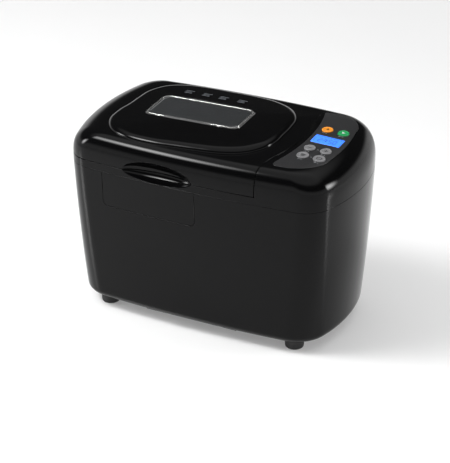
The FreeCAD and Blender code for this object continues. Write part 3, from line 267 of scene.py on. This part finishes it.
def round_rect(cx, cy, hx, hy, radius, steps=10):
    ring = []
    for sx, sy, start in ((1, -1, -90), (1, 1, 0), (-1, 1, 90), (-1, -1, 180)):
        for turn in np.radians(np.linspace(start, start + 90, steps)):
            ring.append((cx + sx * (hx - radius) + radius * math.cos(turn),
                         cy + sy * (hy - radius) + radius * math.sin(turn)))
    return np.array(ring)


def rod(axis, start, stop, radius, at, sides=48):
    """Closed cylinder along an axis letter, through the two other coordinates."""
    turn = np.linspace(0, 2 * math.pi, sides, endpoint=False)
    u, v = radius * np.cos(turn), radius * np.sin(turn)
    rings = []
    for reach in (start, stop):
        span = np.full(sides, float(reach))
        rings.append({"x": np.column_stack([span, at[0] + u, at[1] + v]),
                      "y": np.column_stack([at[0] + v, span, at[1] + u]),
                      "z": np.column_stack([at[0] + u, at[1] + v, span])}[axis])
    return link("rod", skin_over(rings, caps=True))


def dips(radius, steps=8):
    """Inset and rise pairs of a quarter round, from its foot to its wall."""
    turns = np.linspace(0, math.pi / 2, steps)
    return [(radius * (1 - math.sin(t)), radius * (1 - math.cos(t))) for t in turns]


SEAT = BOTTOM_ROUND + 1.5
outer = [case_ring(GROUND + rise, inset) for inset, rise in dips(BOTTOM_ROUND)]
outer += [case_ring(z, 0.0) for z in np.linspace(GROUND + BOTTOM_ROUND, BODY_TOP - EDGE, 40)[1:]]
outer += [case_ring(BODY_TOP - rise, inset) for inset, rise in dips(EDGE, 4)[::-1][1:]]
inner = [case_ring(BODY_TOP, WALL), case_ring(GROUND + 16, WALL), case_ring(GROUND + 6.3, SEAT + 9),
         case_ring(GROUND + 3.5, SEAT + 9), case_ring(GROUND + 3.5, SEAT), case_ring(GROUND, SEAT)]
case = link("lower_case", skin_over(outer + inner, closed=True))

INSERT = (-131.0, 13.5)
INSERT_BOTTOM, INSERT_CORNER = 50.5, 8.0


def insert_tool(inset):
    """Rounded block through the front wall that the insert panel fills."""
    x0, x1 = INSERT[0] + inset, INSERT[1] - inset
    tall = INSERT_BOTTOM + 9.5
    middle_z = BODY_TOP - INSERT_BOTTOM + inset + tall
    face = round_rect((x0 + x1) / 2, middle_z, (x1 - x0) / 2, tall, INSERT_CORNER - inset)
    rings = [np.column_stack([face[:, 0], np.full(len(face), y), face[:, 1]]) for y in (-60.0, -DEPTH)]
    return link("insert", skin_over(rings, caps=True))


VENTS = [BODY_TOP - 60 - 9 * i for i in range(7)]
VENT_X, VENT_HEIGHT = (70, 135), 3.5
GLAND_R, GLAND_AT = 9.0, (152.0, 44.0)
blank = link("insert_blank", case.data.copy())
carve(case, insert_tool(0.0), rod("y", DEPTH / 2 - 30, DEPTH, GLAND_R, GLAND_AT),
      *[block(*VENT_X, DEPTH / 2 - 25, DEPTH / 2 + 5, z, z + VENT_HEIGHT) for z in VENTS])
round_edges(case)
insert = carve(blank, insert_tool(0.35), action="INTERSECT")
insert.name = "front_insert"
round_edges(insert)

gloss = shader("gloss_black_plastic", (0.0022, 0.0022, 0.0024), 0.09, grain=900.0, depth=0.012, mottle=0.2)
gloss.node_tree.nodes["Principled BSDF"].inputs["Specular IOR Level"].default_value = 0.15
case.data.materials.append(gloss)
insert.data.materials.append(gloss)
for piece, node in ((case, "body_shell"), (insert, "front_insert_panel")):
    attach(piece, "base")
    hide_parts(node)

# Collar and control end: one gloss black moulding, a low ring round the whole machine that rises at the
# right into the hollow control housing. The lid's lip lies over a step along its left edge.
CROWN_BASE = HEIGHT - 6.0 - 4.9 - (0.074 * 91.0) ** 2 / (4 * 4.9)
TOP_SLOPE, TOP_BULGE, SHOULDER_END, SHOULDER_SIDE, SHOULDER_POWER = 0.074, 4.9, 49.0, 22.0, 2.6
LID_GAP, SEAM_GAP, LIP, LIP_STEP, SKIRT_X = 0.8, 1.0, 3.0, 5.5, 97.5
SEAM = np.array([(99.5, -100), (103.0, -73), (108.8, -54), (114.3, -34), (117.6, -11), (118.2, 12),
                 (116.1, 32), (112.6, 52), (109.6, 66)])


def crown_rings(inset=0.0, drop=0.0, foot=0.0):
    """Shoulder and crown of the whole top, drawn in by inset and lowered by drop."""
    rings = [level(plan(inset, inset), LID_Z - foot)] if foot else []
    span = CROWN_BASE - drop - LID_Z
    for turn in np.linspace(0, math.pi / 2, 34):
        part = 1 - math.cos(turn)
        lift = (1 - max(1 - part, 0.0) ** SHOULDER_POWER) ** (1 / SHOULDER_POWER)
        flat = plan(inset + SHOULDER_END * part, inset + SHOULDER_SIDE * part)
        rings.append(np.column_stack([flat, LID_Z + span * lift + TOP_SLOPE * lift * flat[:, 1]]))
    rim = rings[-1][:, :2]
    for scale in np.linspace(1, 0, 24)[1:-1]:
        flat = rim * scale
        rise = TOP_BULGE * (1 - scale ** 2) ** 1.5
        rings.append(np.column_stack([flat, LID_Z + span + rise + TOP_SLOPE * flat[:, 1]]))
    return rings


crown_mesh = skin_over(crown_rings(), caps=True)
work = bmesh.new()
work.from_mesh(crown_mesh)
CROWN = BVHTree.FromBMesh(work)
work.free()


def crown_z(x, y):
    """Height of the crown over a point, in millimetres."""
    hit = CROWN.ray_cast(Vector((x * MM, y * MM, 1.0)), Vector((0, 0, -1)))[0]
    return hit.z / MM


def seam_x(y):
    """The seam between the lid and the control end, straight at both ends."""
    y = min(max(y, SEAM[0, 1]), SEAM[-1, 1])
    i = min(int(np.searchsorted(SEAM[:, 1], y, side="right")) - 1, len(SEAM) - 2)
    slopes = np.gradient(SEAM[:, 0], SEAM[:, 1])
    slopes[0] = slopes[-1] = 0.0
    h = SEAM[i + 1, 1] - SEAM[i, 1]
    t = (y - SEAM[i, 1]) / h
    return ((2 * t ** 3 - 3 * t ** 2 + 1) * SEAM[i, 0] + (t ** 3 - 2 * t ** 2 + t) * h * slopes[i]
            + (3 * t ** 2 - 2 * t ** 3) * SEAM[i + 1, 0] + (t ** 3 - t ** 2) * h * slopes[i + 1])


def seam_tool(shift, z0, z1, far=-WIDTH):
    """Prism from the seam out to one side."""
    line = [(seam_x(y) + shift, y) for y in np.linspace(-DEPTH, DEPTH, 227)]
    ring = np.array(line + [(far, DEPTH), (far, -DEPTH)])
    if far > 0:
        ring = ring[::-1]
    return link("seam", skin_over([level(ring, z0), level(ring, z1)], caps=True))


TOP_Z = HEIGHT + 40
LIP_SIDE, LEDGE_SIDE, DECK_TOP = 1.2, 3.6, 227.0
CHAMBER_X = -45.0
GRIP_X, GRIP_HALF, GRIP_DEPTH, GRIP_UP, GRIP_DOWN, GRIP_BACK = -44.5, 54.0, 15.0, 18.0, 11.0, 5.0


def solid(name, rings):
    return link(name, skin_over(rings, caps=True))


def grip_scoop(height):
    """Half-melon tool that presses the fingertip recess into the front."""
    ball = bmesh.new()
    bmesh.ops.create_uvsphere(ball, u_segments=96, v_segments=48, radius=MM)
    mesh = bpy.data.meshes.new("scoop")
    ball.to_mesh(mesh)
    ball.free()
    stretch = Matrix.Diagonal((GRIP_HALF, GRIP_DEPTH, height, 1.0))
    mesh.transform(Matrix.Translation(Vector((GRIP_X, -DEPTH / 2 - 0.5, LID_Z)) * MM) @ stretch)
    return link("scoop", mesh)


def grip_block(z0, z1):
    wide = GRIP_HALF + GRIP_BACK
    return block(GRIP_X - wide, GRIP_X + wide, -DEPTH / 2 - 5, -DEPTH / 2 + GRIP_DEPTH + GRIP_BACK, z0, z1)


def add_solids(piece, *parts):
    """Joins small closed solids to a moulding."""
    work = bmesh.new()
    work.from_mesh(piece.data)
    for part in parts:
        work.from_mesh(part.data)
        bpy.data.objects.remove(part)
    work.to_mesh(piece.data)
    work.free()
    return piece


HINGE_Y, HINGE_Z, HINGE_R, HINGE_X = 115.3, 235.0, 3.0, (-130.0, 88.0)
KNUCKLE, FIXED_KNUCKLE = 16.0, 8.0
BUTTONS = {"stop": (138.4, 37.0, 7.7), "start": (162.0, 36.6, 7.7), "minus": (138.4, -20.3, 7.7),
           "plus": (161.8, -20.6, 7.7), "menu": (138.6, -42.6, 8.35), "crust": (162.0, -42.6, 8.35)}
LCD = (151.2, 8.5, 21.0, 11.5)
OVERLAY = [((114.0, 85.0), (125.2, 3.0), (112.6, -74.0)), ((112.6, -74.0), (113.5, -80.5), (120.0, -82.8)),
           ((120.0, -82.8), (136.0, -81.5), (152.0, -75.5)), ((152.0, -75.5), (168.0, -60.0), (175.5, -36.0)),
           ((175.5, -36.0), (178.5, 8.0), (173.5, 52.0)), ((173.5, 52.0), (168.0, 73.0), (156.0, 84.5)),
           ((156.0, 84.5), (136.0, 88.0), (114.0, 85.0))]


def arc_through(p, q, r, count):
    """Points of the circular arc through three places, without the last one."""
    (ax, ay), (bx, by), (cx, cy) = p, q, r
    d = 2 * (ax * (by - cy) + bx * (cy - ay) + cx * (ay - by))
    pa, pb, pc = ax * ax + ay * ay, bx * bx + by * by, cx * cx + cy * cy
    ux = (pa * (by - cy) + pb * (cy - ay) + pc * (ay - by)) / d
    uy = (pa * (cx - bx) + pb * (ax - cx) + pc * (bx - ax)) / d
    start, middle, stop = [math.atan2(y - uy, x - ux) for x, y in (p, q, r)]
    sweep = (stop - start) % (2 * math.pi)
    if (middle - start) % (2 * math.pi) > sweep:
        sweep -= 2 * math.pi
    turn = start + sweep * np.linspace(0, 1, count, endpoint=False)
    radius = math.hypot(ax - ux, ay - uy)
    return np.column_stack([ux + radius * np.cos(turn), uy + radius * np.sin(turn)])


def drawn_in(ring, inset):
    """A closed counter-clockwise outline, moved inwards square to itself."""
    ahead, behind = np.roll(ring, -1, 0), np.roll(ring, 1, 0)
    run = ahead - behind
    run /= np.linalg.norm(run, axis=1)[:, None]
    return ring + inset * np.column_stack([-run[:, 1], run[:, 0]])


def draped(flat, rise):
    """An outline laid on the crown, lifted by rise."""
    return np.array([(x, y, crown_z(x, y) + rise) for x, y in flat])


panel_edge = np.vstack([arc_through(*arc, 26 if i in (0, 4) else 12) for i, arc in enumerate(OVERLAY)])
next_x, next_y = np.roll(panel_edge, -1, 0).T
if np.sum(panel_edge[:, 0] * next_y - panel_edge[:, 1] * next_x) < 0:
    panel_edge = panel_edge[::-1]

housing = solid("collar_and_control_end",
                [level(plan(inset, inset), BODY_TOP + rise) for inset, rise in dips(EDGE, 4)] + crown_rings())
ledge = carve(solid("ledge", crown_rings(LEDGE_SIDE, LIP_STEP, 4.0)),
              block(-WIDTH, SKIRT_X + SEAM_GAP, -DEPTH, DEPTH, 0, TOP_Z))
under_deck = carve(solid("under_deck", [level(plan(WALL, WALL), z) for z in (BODY_TOP - 1, DECK_TOP - 2.5)]),
                   grip_block(0, TOP_Z))
over_deck = carve(solid("over_deck", [level(plan(WALL, WALL), z) for z in (DECK_TOP, LID_Z + 1)]),
                  grip_block(0, TOP_Z), block(SKIRT_X + SEAM_GAP, WIDTH, -DEPTH, DEPTH, 0, TOP_Z))
room = carve(solid("room", crown_rings(WALL, WALL, 12.0)), seam_tool(SEAM_GAP + WALL, 0, TOP_Z))
room_low = carve(solid("room_low", crown_rings(LEDGE_SIDE + WALL, WALL + LIP_STEP, 12.0)),
                 block(-WIDTH, SKIRT_X + SEAM_GAP + WALL, -DEPTH, DEPTH, 0, TOP_Z))
mouth = round_rect(CHAMBER_X, 0, 123.0, 87.0, 29.0)
lid_space = carve(seam_tool(SEAM_GAP, LID_Z - LID_GAP, TOP_Z), ledge)
carve(housing, lid_space, under_deck, over_deck, room, room_low,
      solid("mouth", [level(mouth, z) for z in (BODY_TOP - 5, LID_Z + 5)]), grip_scoop(GRIP_DOWN),
      solid("panel_recess", [draped(panel_edge, -1.2), level(panel_edge, TOP_Z)]),
      *[rod("z", LID_Z + 25, TOP_Z, r + 0.35, (x, y)) for x, y, r in BUTTONS.values()],
      solid("display_opening", [level(round_rect(*LCD, 1.5), z) for z in (LID_Z + 25, TOP_Z)]))
round_edges(housing)
hooks = []
for x in HINGE_X:
    for side in (-1, 1):
        near = x + side * (KNUCKLE / 2 + 0.5)
        x0, x1 = sorted((near, near + side * FIXED_KNUCKLE))
        hooks.append(rod("x", x0, x1, HINGE_R, (HINGE_Y, HINGE_Z)))
        hooks.append(block(x0, x1, HINGE_Y - 2.5, HINGE_Y + 2.5, LID_Z - 8, HINGE_Z))
        hooks.append(block(x0, x1, DEPTH / 2 - 6, HINGE_Y - 2.4, LID_Z - 8, LID_Z - LID_GAP))
add_solids(housing, *[round_edges(hook, 0.3, 2) for hook in hooks])
housing.data.materials.clear()
housing.data.materials.append(gloss)
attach(housing, "base")
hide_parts("upper_housing")

# Lid: a gloss black shell hinged at the back. Its right edge is a thin lip over the control housing,
# its front edge carries the upper half of the fingertip recess, and it is open under the raised panel.
WINDOW = (-38.0, 3.3, 71.0, 30.25)
WINDOW_CORNER = 11.0
lid_foot = [level(plan(inset, inset), LID_Z + rise) for inset, rise in dips(EDGE, 4)]
lid = solid("lid", lid_foot + crown_rings()[1:])
lip_room = carve(solid("lip_room", crown_rings(LIP_SIDE, LIP, 5.0)),
                 block(-WIDTH, SKIRT_X, -DEPTH, DEPTH, 0, TOP_Z))
lid_room = carve(solid("lid_room", crown_rings(WALL, WALL, 12.0)),
                 block(SKIRT_X - WALL, WIDTH, -DEPTH, DEPTH, 0, TOP_Z),
                 grip_block(LID_Z, LID_Z + GRIP_UP + 5))
opening = round_rect(*WINDOW[:2], WINDOW[2] + 4, WINDOW[3] + 4, WINDOW_CORNER + 4)
carve(lid, seam_tool(0.0, 0, TOP_Z, WIDTH), lip_room, lid_room, grip_scoop(GRIP_UP),
      solid("opening", [level(opening, z) for z in (LID_Z + 15, TOP_Z)]))
round_edges(lid)
hooks = []
for x in HINGE_X:
    hooks.append(rod("x", x - KNUCKLE / 2, x + KNUCKLE / 2, HINGE_R, (HINGE_Y, HINGE_Z)))
    hooks.append(block(x - KNUCKLE / 2, x + KNUCKLE / 2, DEPTH / 2 - 7, HINGE_Y,
                       HINGE_Z - 1.5, HINGE_Z + 2.5))
add_solids(lid, *[round_edges(hook, 0.3, 2) for hook in hooks])
lid.data.materials.clear()
lid.data.materials.append(gloss)
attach(lid, "lid")
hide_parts("lid_shell")

# Raised panel: a gloss black cap bonded on the lid, soft-edged, with an opening for the window frame.
# A few short printed bars stand in for the printing on it.
DOME = np.array([
    (-29.0, -91.2), (2.5, -87.7), (34.8, -82.7), (65.0, -70.8), (85.2, -50.6), (92.3, -26.4), (92.6, -3.0),
    (92.3, 20.5), (88.1, 45.8), (71.1, 69.2), (40.4, 83.6), (4.7, 87.8), (-29.0, 87.7), (-62.6, 87.4),
    (-97.6, 82.8), (-127.2, 67.9), (-142.9, 44.4), (-146.6, 19.7), (-148.3, -3.0), (-152.0, -26.8),
    (-149.8, -53.3), (-132.2, -77.5), (-100.0, -91.7), (-62.9, -94.4)])
DOME_EDGE, DOME_RISE = 9.0, 6.0


def closed_spline(points, steps):
    """Smooth closed line through points, with tangents from each point's neighbours."""
    ahead = np.roll(points, -1, 0)
    slope = (ahead - np.roll(points, 1, 0)) / 2
    share = np.linspace(0, 1, steps, endpoint=False)[:, None]
    line = []
    for p, q, m, n in zip(points, ahead, slope, np.roll(slope, -1, 0)):
        line.append((2 * share ** 3 - 3 * share ** 2 + 1) * p + (share ** 3 - 2 * share ** 2 + share) * m
                    + (3 * share ** 2 - 2 * share ** 3) * q + (share ** 3 - share ** 2) * n)
    return np.vstack(line)


def by_bearing(ring, centre, count=360):
    """A closed outline with its points at even bearings from a centre."""
    ahead = np.roll(ring, -1, 0)
    share = np.linspace(0, 1, 24, endpoint=False)[:, None]
    dense = np.vstack([p + (q - p) * share for p, q in zip(ring, ahead)])
    offset = dense - centre
    bearing = np.unwrap(np.arctan2(offset[:, 1], offset[:, 0]))
    reach = np.hypot(offset[:, 0], offset[:, 1])
    turn = np.linspace(0, 2 * math.pi, count, endpoint=False)
    around = np.interp(turn, bearing, reach, period=2 * math.pi)
    return centre + np.column_stack([around * np.cos(turn), around * np.sin(turn)])


middle = np.array(WINDOW[:2])
edge_line = closed_spline(DOME, 12)
rings = [draped(by_bearing(edge_line, middle), -0.3)]
for turn in np.linspace(0, math.pi / 2, 12):
    line = drawn_in(edge_line, DOME_EDGE * (1 - math.cos(turn)))
    rings.append(draped(by_bearing(line, middle), DOME_RISE * math.sin(turn)))
rim = by_bearing(drawn_in(edge_line, DOME_EDGE), middle)
sill = by_bearing(round_rect(*WINDOW, WINDOW_CORNER, 14), middle)
for share in np.linspace(0, 1, 12)[1:]:
    rings.append(draped(rim + (sill - rim) * share, DOME_RISE))
rings.append(draped(sill, 0.5))
dome = link("raised_panel", skin_over(rings, closed=True))
round_edges(dome, 0.0)
dome.data.materials.append(gloss)
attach(dome, "lid")
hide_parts("lid_dome_panel")


def plates(name, shapes, rise, thick=0.12):
    """Thin flat marks laid on the crown, one closed plate for each outline."""
    points, faces = [], []
    for shape in shapes:
        count, first = len(shape), len(points)
        low, high = draped(shape, rise - thick), draped(shape, rise)
        points += [*low, *high]
        faces.append([first + i for i in range(count)][::-1])
        faces.append([first + count + i for i in range(count)])
        faces += [(first + i, first + (i + 1) % count, first + count + (i + 1) % count, first + count + i)
                  for i in range(count)]
    mesh = bpy.data.meshes.new(name)
    mesh.from_pydata((np.array(points) * MM).tolist(), [], faces)
    return link(name, mesh)


def bar(x, y, long, wide, turn=0.0):
    """Plan outline of one straight bar."""
    c, s = math.cos(turn), math.sin(turn)
    return [(x + c * u - s * v, y + s * u + c * v)
            for u, v in ((-long, -wide), (long, -wide), (long, wide), (-long, wide))]


LINES = ((6.5, 0), (5.0, -1.5), (5.8, -0.7))
bars = [bar(x + shift, 58.5 - 3.6 * row, long, 0.5)
        for x in (-81.5, -53.8, -27.9, 0.9) for row, (long, shift) in enumerate(LINES)]
print_gray = shader("print_gray", (0.16, 0.17, 0.19), 0.35, grain=2500.0, depth=0.05)
prints = plates("lid_print", bars, DOME_RISE + 0.06)
prints.data.materials.append(print_gray)
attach(prints, "lid")

# Window: a smoked glass pane let into the raised panel inside a narrow bright metal frame.
TRIM = 1.8
rings = []
section = ((0.0, 4.0), (0.0, 6.2), (0.12, 6.42), (0.35, 6.5),
           (1.45, 6.5), (1.68, 6.42), (TRIM, 6.2), (TRIM, 4.0))
for inset, rise in section:
    ring = round_rect(WINDOW[0], WINDOW[1], WINDOW[2] - inset, WINDOW[3] - inset, WINDOW_CORNER - inset, 14)
    rings.append(draped(ring, rise))
trim = link("window_frame", skin_over(rings, closed=True))
round_edges(trim, 0.0)
trim.data.materials.append(shader("brushed_frame", (0.78, 0.78, 0.76), 0.22, 1.0, 1800.0, 0.08))
pane_edge = round_rect(WINDOW[0], WINDOW[1], WINDOW[2] - TRIM, WINDOW[3] - TRIM, WINDOW_CORNER - TRIM, 14)
rings = [draped(pane_edge, 3.6), draped(pane_edge, 5.8)]
for share in np.linspace(1, 0, 14)[1:-1]:
    rings.append(draped(middle + (pane_edge - middle) * share, 6.0))
pane = solid("window_pane", rings)
round_edges(pane, 0.0)
smoke = shader("smoked_glass", (0.045, 0.048, 0.05), 0.06, 0.0, 500.0, 0.0)
smoke.node_tree.nodes["Principled BSDF"].inputs["Transmission Weight"].default_value = 0.35
smoke.node_tree.nodes["Principled BSDF"].inputs["IOR"].default_value = 1.52
pane.data.materials.append(smoke)
for piece, node, finish in ((trim, "window_trim", "bright_trim"), (pane, "window_glass", "smoked_glass")):
    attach(piece, "lid")
    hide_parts(node)

# Control panel: a satin dark overlay let into the housing, with short pale marks printed beside the keys.
# The display shows a plain time in straight segments.
hub = np.array((150.0, 0.0))
rings = [draped(drawn_in(panel_edge, inset), rise) for inset, rise in ((0.0, -1.1), (0.25, -0.1), (0.5, 0.05))]
inner_edge = drawn_in(panel_edge, 0.5)
for share in np.linspace(1, 0, 22)[1:-1]:
    rings.append(draped(hub + (inner_edge - hub) * share, 0.05))
panel = solid("control_panel", rings)
carve(panel, *[rod("z", LID_Z + 25, TOP_Z, r + 0.35, (x, y)) for x, y, r in BUTTONS.values()],
      solid("display_opening", [level(round_rect(*LCD, 1.5), z) for z in (LID_Z + 25, TOP_Z)]))
round_edges(panel, 0.0)
satin = shader("overlay_satin", (0.018, 0.018, 0.019), 0.3, 0.0, 2200.0, 0.06)
panel.data.materials.append(satin)
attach(panel, "base")
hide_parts("control_overlay")

marks = []
for x, y, r in BUTTONS.values():
    marks += [bar(x - 1.6, y - r - 2.2, 1.5, 0.3), bar(x + 2.4, y - r - 2.2, 1.0, 0.3)]
marks += [bar(150.2, y, 1.2, 0.35) for y in (-20.5, -42.6)]
panel_print = plates("panel_print", marks, 0.12)
panel_print.data.materials.append(shader("print_pale", (0.42, 0.43, 0.45), 0.4, grain=2500.0, depth=0.05))
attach(panel_print, "base")

screen_edge = round_rect(*LCD[:2], LCD[2] - 0.2, LCD[3] - 0.2, 1.3)
rings = [draped(screen_edge, -2.8), draped(screen_edge, -0.15)]
centre = np.array(LCD[:2])
for share in np.linspace(1, 0, 8)[1:-1]:
    rings.append(draped(centre + (screen_edge - centre) * share, -0.1))
screen = solid("display_screen", rings)
round_edges(screen, 0.0)
backlit = shader("display_blue", (0.05, 0.2, 0.85), 0.18, 0.0, 900.0, 0.0, 0.08)
glow = backlit.node_tree.nodes["Principled BSDF"]
glow.inputs["Emission Color"].default_value = (0.05, 0.22, 1.0, 1.0)
glow.inputs["Emission Strength"].default_value = 0.75
screen.data.materials.append(backlit)
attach(screen, "base")
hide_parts("lcd_window")

SEGMENTS = {"0": "abcdef", "2": "abged", "3": "abgcd", "5": "afgcd"}
PLACES = {"a": (0, 1, 0), "d": (0, -1, 0), "g": (0, 0, 0), "f": (-1, 0.5, 1), "b": (1, 0.5, 1),
          "e": (-1, -0.5, 1), "c": (1, -0.5, 1)}
digits = []
for slot, figure in enumerate("2350"):
    cx = LCD[0] - 10.5 + 6.6 * slot + (1.6 if slot > 1 else 0)
    for part in SEGMENTS[figure]:
        px, py, upright = PLACES[part]
        digits.append(bar(cx + px * 2.2, LCD[1] - 1.5 + py * 4.6, 1.7, 0.42, math.pi / 2 if upright else 0.0))
digits += [bar(LCD[0] - 0.6, LCD[1] + y, 0.5, 0.5) for y in (-3.2, 0.6)]
digits += [bar(LCD[0] - 16 + 4.6 * i, LCD[1] + 7.9, 1.1, 0.4) for i in range(8)]
digits += [bar(LCD[0] - 18.2, LCD[1] - 5 + 4.0 * i, 0.5, 0.9) for i in range(3)]
figures = plates("display_figures", digits, -0.02, 0.05)
figures.data.materials.append(shader("display_black", (0.01, 0.012, 0.03), 0.4, grain=2500.0, depth=0.02))
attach(figures, "base")

# Keys: six round caps, each on its own stem, with a shallow dish, a rolled edge and a small raised sign.
# Stop is orange, start is green and the rest are gray.
TINTS = {"stop": ("button_orange", (0.85, 0.3, 0.02)), "start": ("button_green", (0.01, 0.33, 0.09)),
         "minus": ("button_gray", (0.2, 0.2, 0.205))}


def disc(x, y, radius, count=24):
    turn = np.linspace(0, 2 * math.pi, count, endpoint=False)
    return np.column_stack([x + radius * np.cos(turn), y + radius * np.sin(turn)])


signs = {
    "stop": [bar(138.4, 37.0, 1.9, 0.45), bar(138.4, 38.6, 0.45, 1.6)],
    "start": [[(160.2, 34.4), (164.8, 36.6), (160.2, 38.8)]],
    "minus": [bar(138.4, -20.3, 2.6, 0.5)],
    "plus": [bar(161.8, -20.6, 2.6, 0.5), bar(161.8, -18.8, 0.5, 1.2), bar(161.8, -22.4, 0.5, 1.2)],
    "menu": [bar(138.6, -42.6 + y, 2.9, 0.4) for y in (-2.0, 0.0, 2.0)],
    "crust": [*[bar(162.0, -42.6 + y, 2.8, 0.4) for y in (-2.3, 2.3)],
              *[bar(162.0 + x, -42.6, 0.4, 2.7) for x in (-3.1, 3.1)]],
}
cap_finish = {tint: shader(tint + "_cap", colour, 0.28, 0.0, 2000.0, 0.04, 0.06)
              for tint, colour in TINTS.values()}
sign_pale = shader("sign_pale", (0.8, 0.82, 0.8), 0.4, grain=2500.0, depth=0.02)
sign_dark = shader("sign_dark", (0.02, 0.02, 0.02), 0.4, grain=2500.0, depth=0.02)
for key, (x, y, r) in BUTTONS.items():
    tint = TINTS.get(key, TINTS["minus"])[0]
    profile = [(r, -5.0), (r, 0.6), (r - 0.15, 0.95), (r - 0.5, 1.15), (r - 0.9, 1.2), (r - 1.5, 1.12),
               (r - 1.8, 0.9), (r - 2.1, 0.85), (r * 0.55, 0.75), (r * 0.25, 0.7)]
    cap = solid("key_cap_" + key, [draped(disc(x, y, reach, 72), rise) for reach, rise in profile])
    round_edges(cap, 0.0)
    cap.data.materials.append(cap_finish[tint])
    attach(cap, "key_" + key)
    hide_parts("button_" + key)
    sign = plates("key_sign_" + key, signs[key], 0.98)
    sign.data.materials.append(sign_pale if key == "start" else sign_dark)
    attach(sign, "key_" + key)

# Everything else: the pieces inside the machine and underneath keep their own shapes and get finishes of
# rolled and plated steel, cast and coated aluminium, rubber, moulded plastic, windings and circuit board.
FINISHES = {
    "gloss_black": None,
    "satin_black": ((0.012, 0.012, 0.012), 0.38, 0.0, 1500.0, 0.08),
    "inner_black": ((0.03, 0.03, 0.03), 0.55, 0.0, 1500.0, 0.12),
    "rubber_dark": ((0.016, 0.016, 0.016), 0.7, 0.0, 2400.0, 0.2),
    "silicone_gray": ((0.2, 0.2, 0.2), 0.6, 0.0, 1200.0, 0.1),
    "panel_gray": ((0.018, 0.018, 0.019), 0.3, 0.0, 2200.0, 0.06),
    "button_orange": ((0.85, 0.3, 0.02), 0.28, 0.0, 2000.0, 0.04),
    "button_green": ((0.01, 0.33, 0.09), 0.28, 0.0, 2000.0, 0.04),
    "button_gray": ((0.2, 0.2, 0.205), 0.28, 0.0, 2000.0, 0.04),
    "display_blue": ((0.05, 0.2, 0.85), 0.18, 0.0, 900.0, 0.0),
    "smoked_glass": ((0.045, 0.048, 0.05), 0.06, 0.0, 500.0, 0.0),
    "clear_glass": ((0.6, 0.64, 0.63), 0.03, 0.0, 500.0, 0.0),
    "bright_trim": ((0.78, 0.78, 0.76), 0.22, 1.0, 1800.0, 0.08),
    "steel_sheet": ((0.55, 0.55, 0.54), 0.34, 1.0, 700.0, 0.1),
    "steel_dark": ((0.2, 0.19, 0.18), 0.42, 1.0, 700.0, 0.15),
    "coated_alu": ((0.05, 0.048, 0.046), 0.4, 0.0, 3000.0, 0.25),
    "cast_alu": ((0.5, 0.5, 0.5), 0.5, 1.0, 900.0, 0.3),
    "steel_pin": ((0.6, 0.6, 0.6), 0.2, 1.0, 900.0, 0.05),
    "board_green": ((0.01, 0.09, 0.035), 0.35, 0.0, 1200.0, 0.1),
    "component_black": ((0.015, 0.015, 0.016), 0.4, 0.0, 1200.0, 0.08),
    "pulley_white": ((0.6, 0.59, 0.56), 0.42, 0.0, 1200.0, 0.06),
    "copper_wound": ((0.45, 0.16, 0.06), 0.32, 1.0, 2600.0, 0.5),
}
made_finishes = {}
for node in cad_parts.values():
    for held in node.material_slots:
        name = held.material.name.split(".")[0]
        if name in FINISHES and name not in made_finishes:
            look = FINISHES[name]
            made_finishes[name] = gloss if look is None else shader("cad_" + name, *look)
        if name in made_finishes:
            held.material = made_finishes[name]
clear = made_finishes["clear_glass"].node_tree.nodes["Principled BSDF"]
clear.inputs["Transmission Weight"].default_value = 1.0
clear.inputs["IOR"].default_value = 1.5
